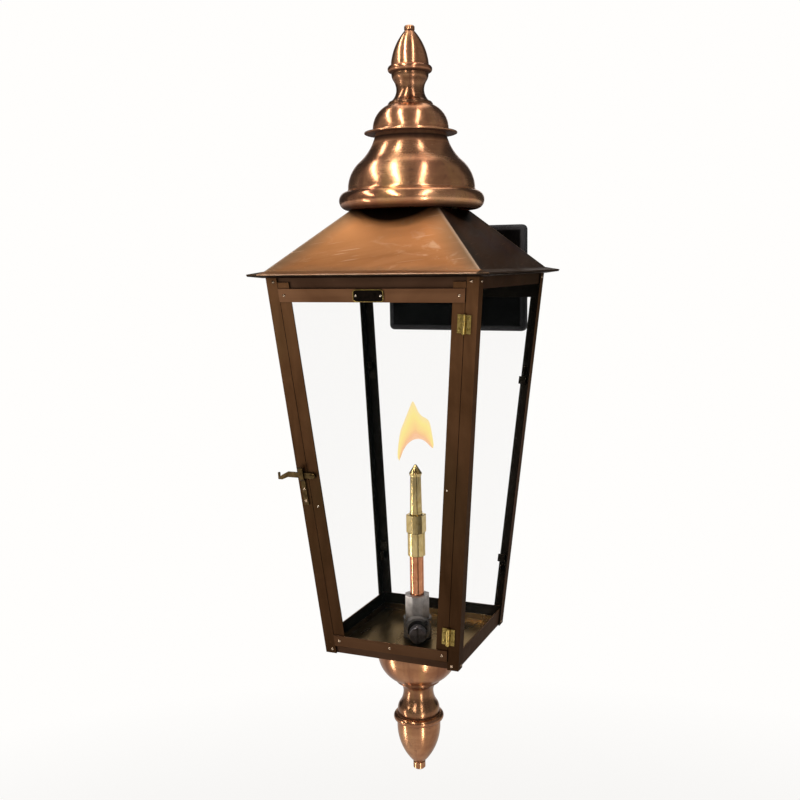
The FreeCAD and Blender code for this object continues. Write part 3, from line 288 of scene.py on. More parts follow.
# Hood: colours, the slope of its brush marks, and distances from the axis in metres
ROOF_TONES = ((0.25, (0.31, 0.130, 0.048)), (0.5, (0.40, 0.172, 0.066)), (0.75, (0.48, 0.22, 0.094)))
ROOF_BROWN = (0.30, 0.13, 0.056)
ROOF_TOP_LIGHT = (0.74, 0.335, 0.132)
ROOF_SMEAR = (0.66, 0.42, 0.26)
ROOF_TARNISH = (0.135, 0.105, 0.070)
FLANK_SHADE_TONES = ((0.38, (0.040, 0.030, 0.026)), (0.5, (0.060, 0.048, 0.044)), (0.62, (0.046, 0.046, 0.070)))
ROOF_HIP_HIGHLIGHT = (0.48, 0.36, 0.27)
ROOF_SCRATCH = (0.70, 0.47, 0.31)
ROOF_SPECK = (0.45, 0.33, 0.25)
ROOF_GRIME_SHADE = (0.075, 0.042, 0.024)
ROOF_BELL_SHADOW = (0.016, 0.011, 0.008)
ROOF_INSIDE = (0.02, 0.015, 0.012)
BRIM_FRONT = (0.40, 0.20, 0.10)
BRIM_SIDE_SHADE = (0.075, 0.045, 0.028)
BRIM_HEM_HIGHLIGHT = (0.42, 0.27, 0.18)
BRUSH_SLOPE = 0.12
ROOF_HALF = 0.12
BELL_SHADOW_REACH = 0.0645
BELL_SHADOW_FADE = 0.002
BRIM_START = 0.1188
HEM_START = 0.1298
HEM_END = 0.119


def roof_sheet(paint, x, z, streaks, smears, cloud):
    """Orange brown, with painted light warming it towards the bell, painted shade darkening the left, and
    pale smears on the right.
    """
    colour = paint.ramp(streaks, *ROOF_TONES)
    colour = paint.stain(colour, ROOF_BROWN, cloud, (0.35, 0.0), (0.75, 0.5))
    # Painted light towards the bell
    colour = paint.stain(colour, ROOF_TOP_LIGHT, z, (0.028, 0.0), (0.060, 0.9))
    # Painted shade on the left
    colour = paint.tint(colour, paint.ramp(paint.plus(x, ROOF_HALF), (0.0, 0.78), (0.13, 1.0)))
    rightward = paint.ramp(paint.plus(x, paint.times(cloud, 0.05)), (0.0, 0.25), (0.09, 1.0))
    smeared = paint.times(paint.ramp(smears, (0.56, 0.0), (0.70, 0.65)), rightward)
    return paint.mix(smeared, colour, ROOF_SMEAR)


def roof_hips(paint, colour, across, along, z, smears, cloud):
    """Grey-green tarnish along hips and eave, painted shade on the flanks on both sides, and painted
    highlights along the hip lines.
    """
    sideward = paint.minus(across, along)
    from_hip = paint.size_of(sideward)
    near_hip = paint.ramp(paint.plus(from_hip, paint.times(cloud, 0.02)), (0.009, 0.8), (0.036, 0.0))
    above_eave = paint.plus(paint.minus(z, EAVE), paint.times(smears, 0.012))
    tarnish = paint.larger(near_hip, paint.ramp(above_eave, (0.007, 0.6), (0.016, 0.0)))
    colour = paint.mix(tarnish, colour, ROOF_TARNISH)
    # Painted shade darkens the side faces
    flank_shade = paint.ramp(cloud, *FLANK_SHADE_TONES)
    colour = paint.stain(colour, flank_shade, sideward, (0.0, 0.0), (0.004, 0.75))
    # Painted highlight along the hip lines
    return paint.stain(colour, ROOF_HIP_HIGHLIGHT, from_hip, (0.0005, 0.7), (0.0014, 0.0))


def roof_marks(paint, colour, radius, brushed):
    """Bright scratches and specks, grime and painted shade in the seams, and a painted shadow in a ring under
    the bell.
    """
    scratches = paint.noise((18.0, 620.0, 1.0), detail=2.0, rough=0.5, place=brushed, twist=0.3)
    colour = paint.stain(colour, ROOF_SCRATCH, scratches, (0.66, 0.0), (0.74, 0.45))
    specks = paint.noise(520.0, detail=2.0, rough=0.5)
    colour = paint.stain(colour, ROOF_SPECK, specks, (0.73, 0.0), (0.78, 0.7))
    colour = paint.mix(paint.crevice(reach=0.02, strength=0.7), colour, ROOF_GRIME_SHADE)
    # Painted shadow of the bell's roll on the hood
    return paint.stain(colour, ROOF_BELL_SHADOW, radius, (BELL_SHADOW_REACH - BELL_SHADOW_FADE, 0.95), (BELL_SHADOW_REACH, 0.0))


def roof_brim(paint, colour, y, across, along):
    """The flat brim: brown in front, with painted shade nearly black at the sides, and a patchy painted
    highlight on the hem along the front.
    """
    colour = paint.mix(paint.past(along, BRIM_START), colour, BRIM_FRONT)
    # Painted shade on the side brims
    colour = paint.mix(paint.past(across, BRIM_START), colour, BRIM_SIDE_SHADE)
    # Patchy painted highlight on the front hem
    hem = paint.times(paint.past(-HEM_START, y), paint.past(HEM_END, across))
    patchy_highlight = paint.ramp(paint.noise((60.0, 300.0, 300.0), rough=0.6), (0.3, 0.35), (0.6, 1.0))
    return paint.mix(paint.times(hem, patchy_highlight), colour, BRIM_HEM_HIGHLIGHT)


def roof_copper():
    """Brushed sheet copper of the hood, with soot and painted shade inside."""
    paint = Paint("roof_copper", metallic=1.0, specular_tint=DULL_EDGE)
    x, y, z = paint.from_axis()
    across = paint.size_of(x)
    along = paint.size_of(y)
    run = paint.plus(x, y)
    brushed = paint.join(run, paint.minus(z, paint.times(run, BRUSH_SLOPE)), 0.0)
    streaks = paint.noise((9.0, 120.0, 1.0), place=brushed, twist=0.5)
    smears = paint.noise((22.0, 75.0, 1.0), detail=5.0, rough=0.6, place=brushed, twist=1.2)
    fine = paint.noise((70.0, 2600.0, 1.0), detail=3.0, rough=0.6, place=brushed)
    cloud = paint.noise(9.0, twist=0.8)
    colour = roof_sheet(paint, x, z, streaks, smears, cloud)
    colour = roof_hips(paint, colour, across, along, z, smears, cloud)
    colour = roof_marks(paint, colour, paint.length(x, y), brushed)
    colour = roof_brim(paint, colour, y, across, along)
    # Soot and painted shade on the faces inside
    paint.set("Base Color", paint.mix(paint.inside(), colour, ROOF_INSIDE))
    paint.set("Roughness", paint.ramp(smears, (0.3, 0.50), (0.7, 0.38)))
    paint.bump(paint.blend(fine, streaks, share=0.6), strength=0.07, distance=0.0003)
    return paint.material


# Posts, stiles and rails: the scale of the drawn grain by its direction, and colours
GRAIN_UPRIGHT = (150.0, 150.0, 4.0)
GRAIN_ACROSS = (5.0, 150.0, 150.0)
OLIVE_SHIFT = (1.05, 1.6, 1.5)
FRAME_WORN = (0.30, 0.15, 0.075)
FRAME_EDGE_HIGHLIGHT = (0.62, 0.36, 0.21)
FRAME_GRIME_SHADE = (0.022, 0.014, 0.009)
FRAME_SOOT_AND_SHADE = ((0.012, 0.010, 0.008), (0.028, 0.022, 0.016))


def frame_copper(name, dark, light, drawn, top_painted_light, foot_painted_shade):
    """Brown drawn sheet with painted light and shade that change up the cage, painted highlights on its worn
    upper edges, and soot and painted shade inside.
    """
    paint = Paint(name, metallic=1.0, specular_tint=DULL_EDGE)
    grain = paint.noise(drawn, detail=3.0, rough=0.5)
    cloud = paint.noise(11.0, rough=0.6, twist=0.5)
    wear = paint.noise(160.0, rough=0.65)
    colour = paint.ramp(paint.blend(grain, cloud, share=0.3), (0.34, dark), (0.66, light))
    olive = tuple(tone * shift for tone, shift in zip(dark, OLIVE_SHIFT))
    colour = paint.stain(colour, olive, paint.noise(6.0, detail=2.0, rough=0.5), (0.45, 0.0), (0.65, 0.45))
    colour = paint.stain(colour, FRAME_WORN, wear, (0.66, 0.0), (0.8, 0.25))
    _, _, z = paint.from_axis()
    height = paint.over(paint.minus(z, CAGE_FOOT), CAGE_HEIGHT * MM)
    # Painted light towards the top and painted shade towards the foot
    colour = paint.tint(colour, paint.ramp(height, (0.0, foot_painted_shade), (0.5, 1.0), (1.0, top_painted_light)))
    # Painted highlights on the upper edges, patchy where the sheet is worn
    upper_edge = paint.ramp(paint.upward(), (0.3, 0.0), (0.5, 0.9))
    patchy_highlight = paint.times(upper_edge, paint.ramp(wear, (0.35, 0.4), (0.6, 1.0)))
    colour = paint.mix(patchy_highlight, colour, FRAME_EDGE_HIGHLIGHT)
    # Grime and painted shade in the seams
    colour = paint.mix(paint.crevice(reach=0.007, strength=0.7), colour, FRAME_GRIME_SHADE)
    # Soot and painted shade on the faces inside
    soot_and_shade = paint.mix(paint.noise(60.0, detail=3.0), *FRAME_SOOT_AND_SHADE)
    paint.set("Base Color", paint.mix(paint.inside(), colour, soot_and_shade))
    paint.set("Roughness", paint.ramp(paint.blend(grain, wear, share=0.5), (0.3, 0.36), (0.7, 0.5)))
    paint.bump(grain, strength=0.05, distance=0.0002)
    return paint.material


# Turned metal has its grain along the axis, and grime and painted shade in a seam are a dark tint of the
# metal
TURNED_GRAIN = (900.0, 900.0, 30.0)
GRIME_AND_SHADE_TINT = 0.18


def plain_metal(name, dark, light, rough, scale=160.0, bump=0.05, grain=None):
    """A metal with mottled colour and roughness, and grain along one direction where it is given."""
    paint = Paint(name, metallic=1.0)
    mottle = paint.noise(scale, rough=0.6, twist=0.4)
    fine = paint.noise(grain or scale * 6, detail=2.0, rough=0.5)
    colour = paint.ramp(mottle, (0.32, dark), (0.68, light))
    grime_and_shade = tuple(tone * GRIME_AND_SHADE_TINT for tone in dark)
    # Grime and painted shade darken the seams
    paint.set("Base Color", paint.mix(paint.crevice(reach=0.003), colour, grime_and_shade))
    paint.set("Roughness", paint.ramp(fine, (0.3, rough - 0.05), (0.7, rough + 0.06)))
    paint.bump(fine, strength=bump, distance=0.0002)
    return paint.material


# Floor pan: colours, and half its width in metres
PAN_TONES = ((0.3, (0.47, 0.315, 0.15)), (0.55, (0.66, 0.465, 0.235)), (0.75, (0.84, 0.63, 0.37)))
PAN_OLIVE = (0.29, 0.185, 0.092)
PAN_SHADE = (0.12, 0.085, 0.045)
PAN_SOOT_AND_SHADE = (0.020, 0.014, 0.009)
PAN_HALF = 0.07


def pan_copper():
    """The floor pan: olive brown sheet with soft smears, darker on the left, with soot and painted shade near
    the walls.
    """
    paint = Paint("pan_copper", metallic=1.0, specular_tint=DULL_EDGE)
    smears = paint.noise((30.0, 9.0, 1.0), twist=0.8)
    cloud = paint.noise(12.0, detail=3.0, rough=0.5)
    x, _, _ = paint.from_axis()
    colour = paint.ramp(smears, *PAN_TONES)
    colour = paint.stain(colour, PAN_OLIVE, cloud, (0.4, 0.0), (0.7, 0.5))
    colour = paint.stain(colour, PAN_SHADE, paint.plus(x, PAN_HALF), (0.0, 0.65), (0.11, 0.0))
    # Soot and painted shade near the walls
    paint.set("Base Color", paint.mix(paint.crevice(reach=0.02), colour, PAN_SOOT_AND_SHADE))
    paint.set("Roughness", paint.ramp(smears, (0.3, 0.24), (0.7, 0.36)))
    paint.bump(cloud, strength=0.05, distance=0.0004)
    return paint.material


EAVE_SHADE_TONES = ((0.3, (0.018, 0.014, 0.012)), (0.7, (0.046, 0.032, 0.024)))


def eave_copper():
    """The underside of the brim, painted nearly black as shade."""
    paint = Paint("eave_copper", metallic=1.0, specular_tint=DULL_EDGE)
    cloud = paint.noise(40.0, rough=0.6)
    paint.set("Base Color", paint.ramp(cloud, *EAVE_SHADE_TONES))
    paint.set("Roughness", paint.ramp(cloud, (0.3, 0.34), (0.7, 0.5)))
    paint.bump(cloud, strength=0.06, distance=0.0003)
    return paint.material


CAST_GRIME_SHADE = (0.020, 0.018, 0.019)


def cast_metal(name, node, dark, light):
    """A casting with a grainy skin, worn lighter patches, a darker lower half, and grime and painted shade in
    its hollows.
    """
    paint = Paint(name, metallic=0.8)
    skin = paint.noise(1500.0, detail=3.0, rough=0.6)
    patches = paint.noise(90.0, rough=0.6)
    colour = paint.ramp(patches, (0.35, dark), (0.7, light))
    low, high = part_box(node)
    _, _, z = paint.from_axis()
    height = paint.over(paint.minus(z, low[2]), high[2] - low[2])
    colour = paint.tint(colour, paint.ramp(height, (0.45, 0.42), (0.62, 1.0)))
    # Grime and painted shade in the hollows
    paint.set("Base Color", paint.mix(paint.crevice(reach=0.012, strength=0.9), colour, CAST_GRIME_SHADE))
    paint.set("Roughness", paint.ramp(skin, (0.3, 0.33), (0.7, 0.5)))
    paint.bump(skin, strength=0.18, distance=0.0002)
    return paint.material


# Black paint: colours, and the width of the plate's rounded border in metres
PAINT_TONES = ((0.35, (0.002, 0.002, 0.0022)), (0.75, (0.005, 0.005, 0.0055)))
PLATE_BORDER = 0.007
PLATE_BORDER_HIGHLIGHT = (0.045, 0.045, 0.049)


def black_paint():
    """Satin black powder coat with a faint orange peel, and a painted highlight along the plate's rounded
    border.
    """
    paint = Paint("black_paint", metallic=0.0, specular_ior_level=0.03)
    peel = paint.noise(900.0, detail=2.0, rough=0.5)
    dust = paint.noise(45.0, rough=0.6)
    colour = paint.ramp(dust, *PAINT_TONES)
    x, _, z = paint.from_axis()
    low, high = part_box("wall_plate")
    middle = (low[2] + high[2]) / 2
    beside = paint.minus(paint.size_of(x), high[0] - PLATE_BORDER)
    above = paint.minus(paint.size_of(paint.minus(z, middle)), high[2] - middle - PLATE_BORDER)
    border = paint.over(paint.larger(beside, above), PLATE_BORDER)
    # Painted highlight on the rounded border
    paint.set("Base Color", paint.stain(colour, PLATE_BORDER_HIGHLIGHT, border, (0.0, 0.0), (0.25, 1.0)))
    paint.set("Roughness", paint.ramp(dust, (0.3, 0.32), (0.7, 0.42)))
    paint.bump(peel, strength=0.12, distance=0.0002)
    return paint.material


GLASS_TONES = ((0.3, (0.030, 0.042, 0.040)), (0.7, (0.045, 0.058, 0.056)))


def clear_glass():
    """Clear flat glass with a little drawn unevenness."""
    paint = Paint("clear_glass", metallic=0.0, roughness=0.02, alpha=0.015)
    ripple = paint.noise(9.0, detail=2.0, rough=0.4)
    paint.set("Base Color", paint.ramp(ripple, *GLASS_TONES))
    paint.bump(ripple, strength=0.05, distance=0.0004)
    return paint.material


BLACK_BASE = (0.0, 0.0, 0.0, 1.0)
FLAME_TONES = (
    (0.0, (1.0, 0.80, 0.40)),
    (0.3, (1.0, 0.84, 0.30)),
    (0.62, (1.0, 0.72, 0.30)),
    (0.86, (0.98, 0.54, 0.27)),
)


def flame_glow():
    """Flame colours from the pale body to the orange arch over the burner."""
    paint = Paint("flame_glow", base_color=BLACK_BASE, metallic=0.0, roughness=1.0, specular_ior_level=0.0)
    band = paint.node("ShaderNodeAttribute", {"attribute_name": "arch"}).outputs["Fac"]
    flicker = paint.noise(120.0, detail=2.0, rough=0.5)
    band = paint.plus(band, paint.times(paint.minus(flicker, 0.5), 0.18))
    paint.set("Emission Strength", 1.0)
    paint.set("Emission Color", paint.ramp(band, *FLAME_TONES))
    paint.set("Alpha", paint.ramp(band, (0.0, 0.86), (0.7, 0.9), (1.0, 0.55)))
    return paint.material


# The materials in use
# A lit copy of the spun copper for bell, cap and top acorn, and darker copies with painted shade for the
# necks and for the hanging bowl and acorn
SPUN = spun_copper("spun_copper", depth=1.28)
SHADED_SPUN = spun_copper("shaded_spun_copper", depth=0.62)
LOW_SHADED_SPUN = spun_copper("low_shaded_spun_copper", depth=0.9)
ROOF = roof_copper()
# The top and foot levels of the posts and rails are painted light and shade
POST = frame_copper(
    "post_copper", (0.053, 0.0237, 0.0095), (0.095, 0.0446, 0.020), GRAIN_UPRIGHT,
    top_painted_light=2.15, foot_painted_shade=0.66)
RAIL = frame_copper(
    "rail_copper", (0.072, 0.035, 0.020), (0.132, 0.069, 0.040), GRAIN_ACROSS,
    top_painted_light=1.0, foot_painted_shade=0.6)
DOOR_RAIL = frame_copper(
    "door_rail_copper", (0.145, 0.066, 0.032), (0.240, 0.117, 0.058), GRAIN_ACROSS,
    top_painted_light=1.1, foot_painted_shade=0.42)
EAVE_COPPER = eave_copper()
PAN = pan_copper()
PALE = plain_metal("pale_metal", (0.50, 0.40, 0.30), (0.82, 0.72, 0.60), rough=0.25, scale=300.0)
BRASS = plain_metal(
    "bright_brass", (0.26, 0.178, 0.047), (0.46, 0.33, 0.105), rough=0.27, scale=420.0, bump=0.03)
AGED_BRASS = plain_metal("aged_brass", (0.060, 0.037, 0.0135), (0.160, 0.104, 0.043), rough=0.34)
BURNER_BRASS = plain_metal(
    "burner_brass", (0.78, 0.54, 0.20), (0.96, 0.75, 0.37), rough=0.23, grain=TURNED_GRAIN)
TUBE = plain_metal("tube_copper", (0.70, 0.26, 0.12), (0.93, 0.42, 0.22), rough=0.2, grain=TURNED_GRAIN)
RIVET = plain_metal("rivet_metal", (0.24, 0.165, 0.108), (0.46, 0.34, 0.245), rough=0.18, scale=300.0)
CAST = cast_metal("cast_grey", "valve_body", (0.44, 0.40, 0.38), (0.84, 0.78, 0.745))
KNOB = cast_metal("cast_black", "valve_knob", (0.105, 0.094, 0.100), (0.26, 0.235, 0.25))
BLACK = black_paint()
GLASS = clear_glass()
FLAME = flame_glow()
ENAMEL = plain_metal("badge_enamel", (0.006, 0.005, 0.004), (0.016, 0.011, 0.008), rough=0.34, scale=240.0)

# What each solid is made of, by how its name starts, and how far its edges are rounded, in millimetres.
# The first row that fits a name counts, and the last row fits every name.
DRESSING = (
    (("post_", "door_stile_", "door_stop_"), POST, 0.4),
    (("glass_clips", "door_clips"), POST, 0.2),
    (("top_rail", "bottom_rail"), RAIL, 0.25),
    (("door_rail",), DOOR_RAIL, 0.55),
    (("floor_pan",), PAN, 0.3),
    (("eave_collar",), EAVE_COPPER, 0.0),
    (("roof_hood",), ROOF, 0.5),
    (("hinge_",), BRASS, 0.25),
    (("latch_arm", "latch_keeper"), AGED_BRASS, 0.35),
    (("latch_pin", "vent_strap", "finial_rod"), AGED_BRASS, 0.0),
    (("burner_",), BURNER_BRASS, 0.7),
    (("riser_tube",), TUBE, 0.0),
    (("valve_body",), CAST, 0.6),
    (("valve_knob",), KNOB, 0.4),
    (("wall_",), BLACK, 0.3),
    (("frame_rivets", "door_rivets"), RIVET, 0.0),
    (("glass_", "door_glass"), GLASS, 0.0),
    (("door_badge",), ENAMEL, 0.3),
    (("",), SPUN, 0.0),
)
WELD_REACH = 1e-6
FLAT_FOLD = math.radians(0.6)
SHARP_FOLD = math.radians(40)


def edge_bevel(obj, width):
    """Rounds the sharp edges of a piece a little, so that they catch the light."""
    obj.data.shade_smooth()
    weld = obj.modifiers.new("weld", "WELD")
    weld.merge_threshold = WELD_REACH
    flat = obj.modifiers.new("flat", "DECIMATE")
    flat.decimate_type = "DISSOLVE"
    flat.angle_limit = FLAT_FOLD
    bevel = obj.modifiers.new("bevel", "BEVEL")
    bevel.width = width
    bevel.segments = 2
    bevel.limit_method = "ANGLE"
    bevel.angle_limit = SHARP_FOLD
    obj.modifiers.new("even", "WEIGHTED_NORMAL")


for name, solid in nodes.items():
    material, rounding = next(row[1:] for row in DRESSING if name.startswith(row[0]))
    solid.data.materials.clear()
    solid.data.materials.append(material)
    if rounding:
        edge_bevel(solid, rounding * MM)


def new_piece(name, data, material, body):
    """Adds a mesh or a curve that moves with a body."""
    piece = bpy.data.objects.new(name, data)
    bpy.context.collection.objects.link(piece)
    data.materials.append(material)
    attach(piece, body)
    return piece


def mesh_from(name, bm, sharp_fold=math.inf):
    """A smooth mesh of a bmesh, which is freed. Edges that fold by more than the given angle stay sharp."""
    bmesh.ops.recalc_face_normals(bm, faces=bm.faces)
    for face in bm.faces:
        face.smooth = True
    for edge in bm.edges:
        edge.smooth = edge.calc_face_angle(0) <= sharp_fold
    mesh = bpy.data.meshes.new(name)
    bm.to_mesh(mesh)
    bm.free()
    return mesh


def join_rings(bm, rings):
    """Joins each ring of points to the next with a band of faces."""
    for ring, following in zip(rings, rings[1:]):
        for step in range(len(ring)):
            after = (step + 1) % len(ring)
            bm.faces.new((ring[step], ring[after], following[after], following[step]))


ARC_STEPS = 14
LATHE_FOLD = math.radians(32)


def arc(start, end, radius):
    """Points of the shorter arc from start to end: left for a positive radius, right for a negative one."""
    if radius == 0:
        return [start]
    first = Vector(start)
    last = Vector(end)
    chord = last - first
    side = Vector((-chord.y, chord.x)).normalized() * math.copysign(1, radius)
    centre = (first + last) / 2 + side * math.sqrt(radius * radius - chord.length_squared / 4)
    from_angle = math.atan2(first.y - centre.y, first.x - centre.x)
    to_angle = math.atan2(last.y - centre.y, last.x - centre.x)
    sweep = (to_angle - from_angle + math.pi) % (2 * math.pi) - math.pi
    angles = [from_angle + sweep * step / ARC_STEPS for step in range(ARC_STEPS)]
    return [(centre.x + abs(radius) * math.cos(a), centre.y + abs(radius) * math.sin(a)) for a in angles]


def outline_points(corners):
    """Points along a closed outline. A corner's third number is the radius of the arc that leaves it."""
    points = []
    for index, (radius, height, *curve) in enumerate(corners):
        end = corners[(index + 1) % len(corners)]
        points += arc((radius, height), (end[0], end[1]), curve[0] if curve else 0)
    return points


def lathe(name, corners, base, material, node, hanging=False, segments=144):
    """A closed outline of radius and height, in millimetres, spun round the lantern's axis."""
    sign = -1.0 if hanging else 1.0
    turns = [2 * math.pi * step / segments for step in range(segments)]
    bm = bmesh.new()
    rings = []
    for radius, height in outline_points(corners):
        reach = radius * MM
        z = EAVE + (base + sign * height) * MM
        spots = [(AXIS.x + reach * math.cos(t), AXIS.y + reach * math.sin(t), z) for t in turns]
        rings.append([bm.verts.new(spot) for spot in spots])
    join_rings(bm, [*rings, rings[0]])
    piece = new_piece(name, mesh_from(name, bm, LATHE_FOLD), material, "cage")
    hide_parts(node)


# Spun and turned copper, on the same outlines as the solids, with finer curves and small steps
lathe("bell_skin", [
    (69.0, 0.0, 10.0), (79.0, 10.0, 10.0), (69.6, 20.0), (69.2, 20.6), (69.4, 21.3), (69.0, 22.0, 38.5),
    (56.0, 51.0, -56.6), (38.6, 78.8), (38.6, BELL_HEIGHT), (3.4, BELL_HEIGHT), (3.4, 79.3), (37.4, 79.3),
    (37.4, 77.6, 56.6), (54.8, 49.8, -38.5), (67.8, 20.8), (67.8, 18.8), (69.0, 18.8, -8.8),
    (77.8, 10.0, -8.8), (69.0, 1.2),
], BELL_BASE, SPUN, "vent_bell")
lathe("cap_skin", [
    (49.4, 0.0, 0.9), (50.3, 0.9, 0.9), (49.4, 1.8), (43.8, 1.8, -2.8), (41.0, 4.6, 27.0),
    (24.5, CAP_HEIGHT), (3.4, CAP_HEIGHT), (3.4, 28.8), (23.3, 28.8, -27.0), (39.8, 3.4), (39.8, 1.2),
    (33.0, 1.2), (33.0, 0.0),
], BELL_BASE + BELL_HEIGHT, SPUN, "vent_cap")
lathe("neck_top_skin", [
    (3.4, 0.0), (23.8, 0.0, 0.55), (24.3, 0.5), (24.3, 1.4, 0.55), (23.8, 1.9), (22.7, 1.9),
    (22.7, 2.2, 0.65), (22.7, 3.4), (21.7, 3.4, -15.6), (15.0, 15.7, -18.2), (18.2, 26.0, 10.0),
    (19.8, TOP_NECK_HEIGHT), (3.4, TOP_NECK_HEIGHT),
], BELL_BASE + BELL_HEIGHT + CAP_HEIGHT, SHADED_SPUN, "finial_neck_top")
lathe("acorn_top_skin", [
    (3.2, 0.0), (20.5, 0.0, 3.813), (20.5, 7.6, 60.0), (5.0, 43.6), (5.6, 44.2), (5.6, 47.6), (4.4, 48.8),
    (0.02, 48.8), (0.02, 24.3), (3.2, 24.3),
], BELL_BASE + BELL_HEIGHT + CAP_HEIGHT + TOP_NECK_HEIGHT, SPUN, "finial_acorn_top")
lathe("bowl_skin", [
    (46.5, 0.0), (46.5, 16.5, 36.4), (27.5, BOWL_HEIGHT), (4.4, BOWL_HEIGHT), (4.4, BOWL_HEIGHT - 1.2),
    (26.3, BOWL_HEIGHT - 1.2, -36.4), (45.3, 15.3), (45.3, 0.0),
], -CAGE_HEIGHT, LOW_SHADED_SPUN, "lower_bowl", hanging=True)
lathe("neck_low_skin", [
    (4.4, 0.0), (26.2, 0.0, 0.55), (26.7, 0.5), (26.7, 1.4, 0.55), (26.2, 1.9), (25.2, 1.9),
    (25.2, 2.2, 0.65), (25.2, 3.4), (24.3, 3.4, -14.5), (17.4, 15.0, -26.0), (21.2, 29.0, 14.0),
    (23.6, LOW_NECK_HEIGHT), (4.4, LOW_NECK_HEIGHT),
], -CAGE_HEIGHT - BOWL_HEIGHT, SHADED_SPUN, "finial_neck_low", hanging=True)
lathe("acorn_low_skin", [
    (4.2, 0.0), (24.9, 0.0, 4.301), (24.9, 8.6, 66.0), (6.4, 60.7), (7.1, 61.4), (7.1, 68.1), (5.7, 69.5),
    (0.02, 69.5), (0.02, 30.3), (4.2, 30.3),
], -CAGE_HEIGHT - BOWL_HEIGHT - LOW_NECK_HEIGHT, LOW_SHADED_SPUN, "finial_acorn_low", hanging=True)

# Burner on the same axis: tube, sleeve and tip with turned edges
RISER_BASE = -376.8
SLEEVE_BASE = -318.8
TIP_BASE = -270.8
lathe("riser_skin", [
    (6.95, 0.0), (7.95, 0.0), (7.95, 68.0), (6.95, 68.0),
], RISER_BASE, TUBE, "riser_tube", segments=64)
lathe("sleeve_skin", [
    (8.0, 0.0), (9.5, 0.0, 0.5), (10.0, 0.5), (10.0, 26.5, 0.5), (9.5, 27.0), (3.0, 27.0), (3.0, 10.0),
    (8.0, 10.0),
], SLEEVE_BASE, BURNER_BRASS, "burner_sleeve", segments=64)
lathe("tip_skin", [
    (0.02, 3.0), (3.0, 0.0), (6.9, 0.0, 0.4), (7.3, 0.4), (7.2, 3.0), (6.9, 3.3), (6.12, 43.6, -0.8),
    (6.5, 44.5), (7.2, 46.9, 0.7), (7.0, 48.0), (1.4, 56.8, 1.0), (0.6, 57.4), (0.02, 57.4),
], TIP_BASE, BURNER_BRASS, "burner_tip", segments=64)

# Heads of screws and rivets on the cage's front, placed by how far across and up the face they are
HEAD_RINGS = 5
HEAD_SIDES = 20
HEAD_TURNS = [2 * math.pi * step / HEAD_SIDES for step in range(HEAD_SIDES)]
HALF_TURNS = HEAD_TURNS[:HEAD_SIDES // 2 + 1]


def add_dome(bm, place, radius, height, turns, closed):
    """A dome over the given turns, on a face whose outside is -y. It is open where the turns don't close."""
    top = bm.verts.new(place @ Vector((0, -height, 0)))
    rows = []
    for ring in range(1, HEAD_RINGS + 1):
        angle = ring / HEAD_RINGS * math.pi / 2
        out = radius * math.sin(angle)
        rise = height * math.cos(angle)
        spots = [Vector((out * math.cos(t), -rise, out * math.sin(t))) for t in turns]
        row = [bm.verts.new(place @ spot) for spot in spots]
        rows.append([*row, row[0]] if closed else row)
    for first, second in zip(rows[0], rows[0][1:]):
        bm.faces.new((top, first, second))
    for inner, outer in zip(rows, rows[1:]):
        for step in range(len(inner) - 1):
            bm.faces.new((inner[step], outer[step], outer[step + 1], inner[step + 1]))


def add_heads(name, spots, material, body, radius, height, depth, cut=0.0):
    """Domed heads at (across, up) spots on the front face, at a depth. A cut across makes screws of them."""
    bm = bmesh.new()
    for across, up in spots:
        place = FRONT_FACE @ Matrix.Translation((across, depth, up))
        if not cut:
            add_dome(bm, place, radius, height, HEAD_TURNS, closed=True)
            continue
        for start, shift in ((0.0, cut / 2), (math.pi, -cut / 2)):
            half_place = place @ Matrix.Translation((0, 0, shift))
            add_dome(bm, half_place, radius, height, [start + turn for turn in HALF_TURNS], closed=False)
    new_piece(name, mesh_from(name, bm), material, body)


# Slotted screws: two on each hinge leaf, on the cage's side and the door's side of the pin
HINGE_UPS = (-47.5, 38.8 - SLANT)
HINGE_INSET = 12.8
LEAF_FRONT = -1.0
LEAF_SCREW_OUT = 4.9
LEAF_SCREW_RISE = 5.0
screw_ups = [up + rise for up in HINGE_UPS for rise in (-LEAF_SCREW_RISE, LEAF_SCREW_RISE)]
for body, hand in (("cage", 1), ("door", -1)):
    screw_spots = [(half_at(up) - HINGE_INSET + hand * LEAF_SCREW_OUT, up) for up in screw_ups]
    add_heads(
        f"hinge_screws_{body}", screw_spots, BRASS, body,
        radius=1.45, height=0.6, depth=LEAF_FRONT, cut=0.35)

# Clip rivets: hand, place up the face and distance from its edge
CLIP_RIVETS = ((-1, -247.0, 19.3), (1, -218.0, 22.5))
clip_spots = [(hand * (half_at(up) - inset), up) for hand, up, inset in CLIP_RIVETS]
add_heads("clip_rivets", clip_spots, PALE, "door", radius=0.9, height=0.45, depth=0.0)

# The bare badge in the middle of the door's top rail, with two rivets and a raised rim
DOOR_SHEET = 1.3
DOOR_RAIL_DROP = 13.0
DOOR_RAIL_HEIGHT = 13.6
BADGE_SHEET = 0.9
BADGE_UP = -(DOOR_RAIL_DROP + DOOR_RAIL_HEIGHT / 2)
BADGE_FRONT = -(DOOR_SHEET + BADGE_SHEET)
BADGE_HALF_WIDTH = 17.0
BADGE_HALF_HEIGHT = 6.5
BADGE_CORNER = 3.5
BADGE_RIVET_OUT = 13.6
RIM_INSET = 0.55
RIM_RADIUS = 0.42
RIM_STEPS = 8
badge_spots = [(-BADGE_RIVET_OUT, BADGE_UP), (BADGE_RIVET_OUT, BADGE_UP)]
add_heads("badge_rivets", badge_spots, PALE, "door", radius=1.2, height=0.5, depth=BADGE_FRONT)


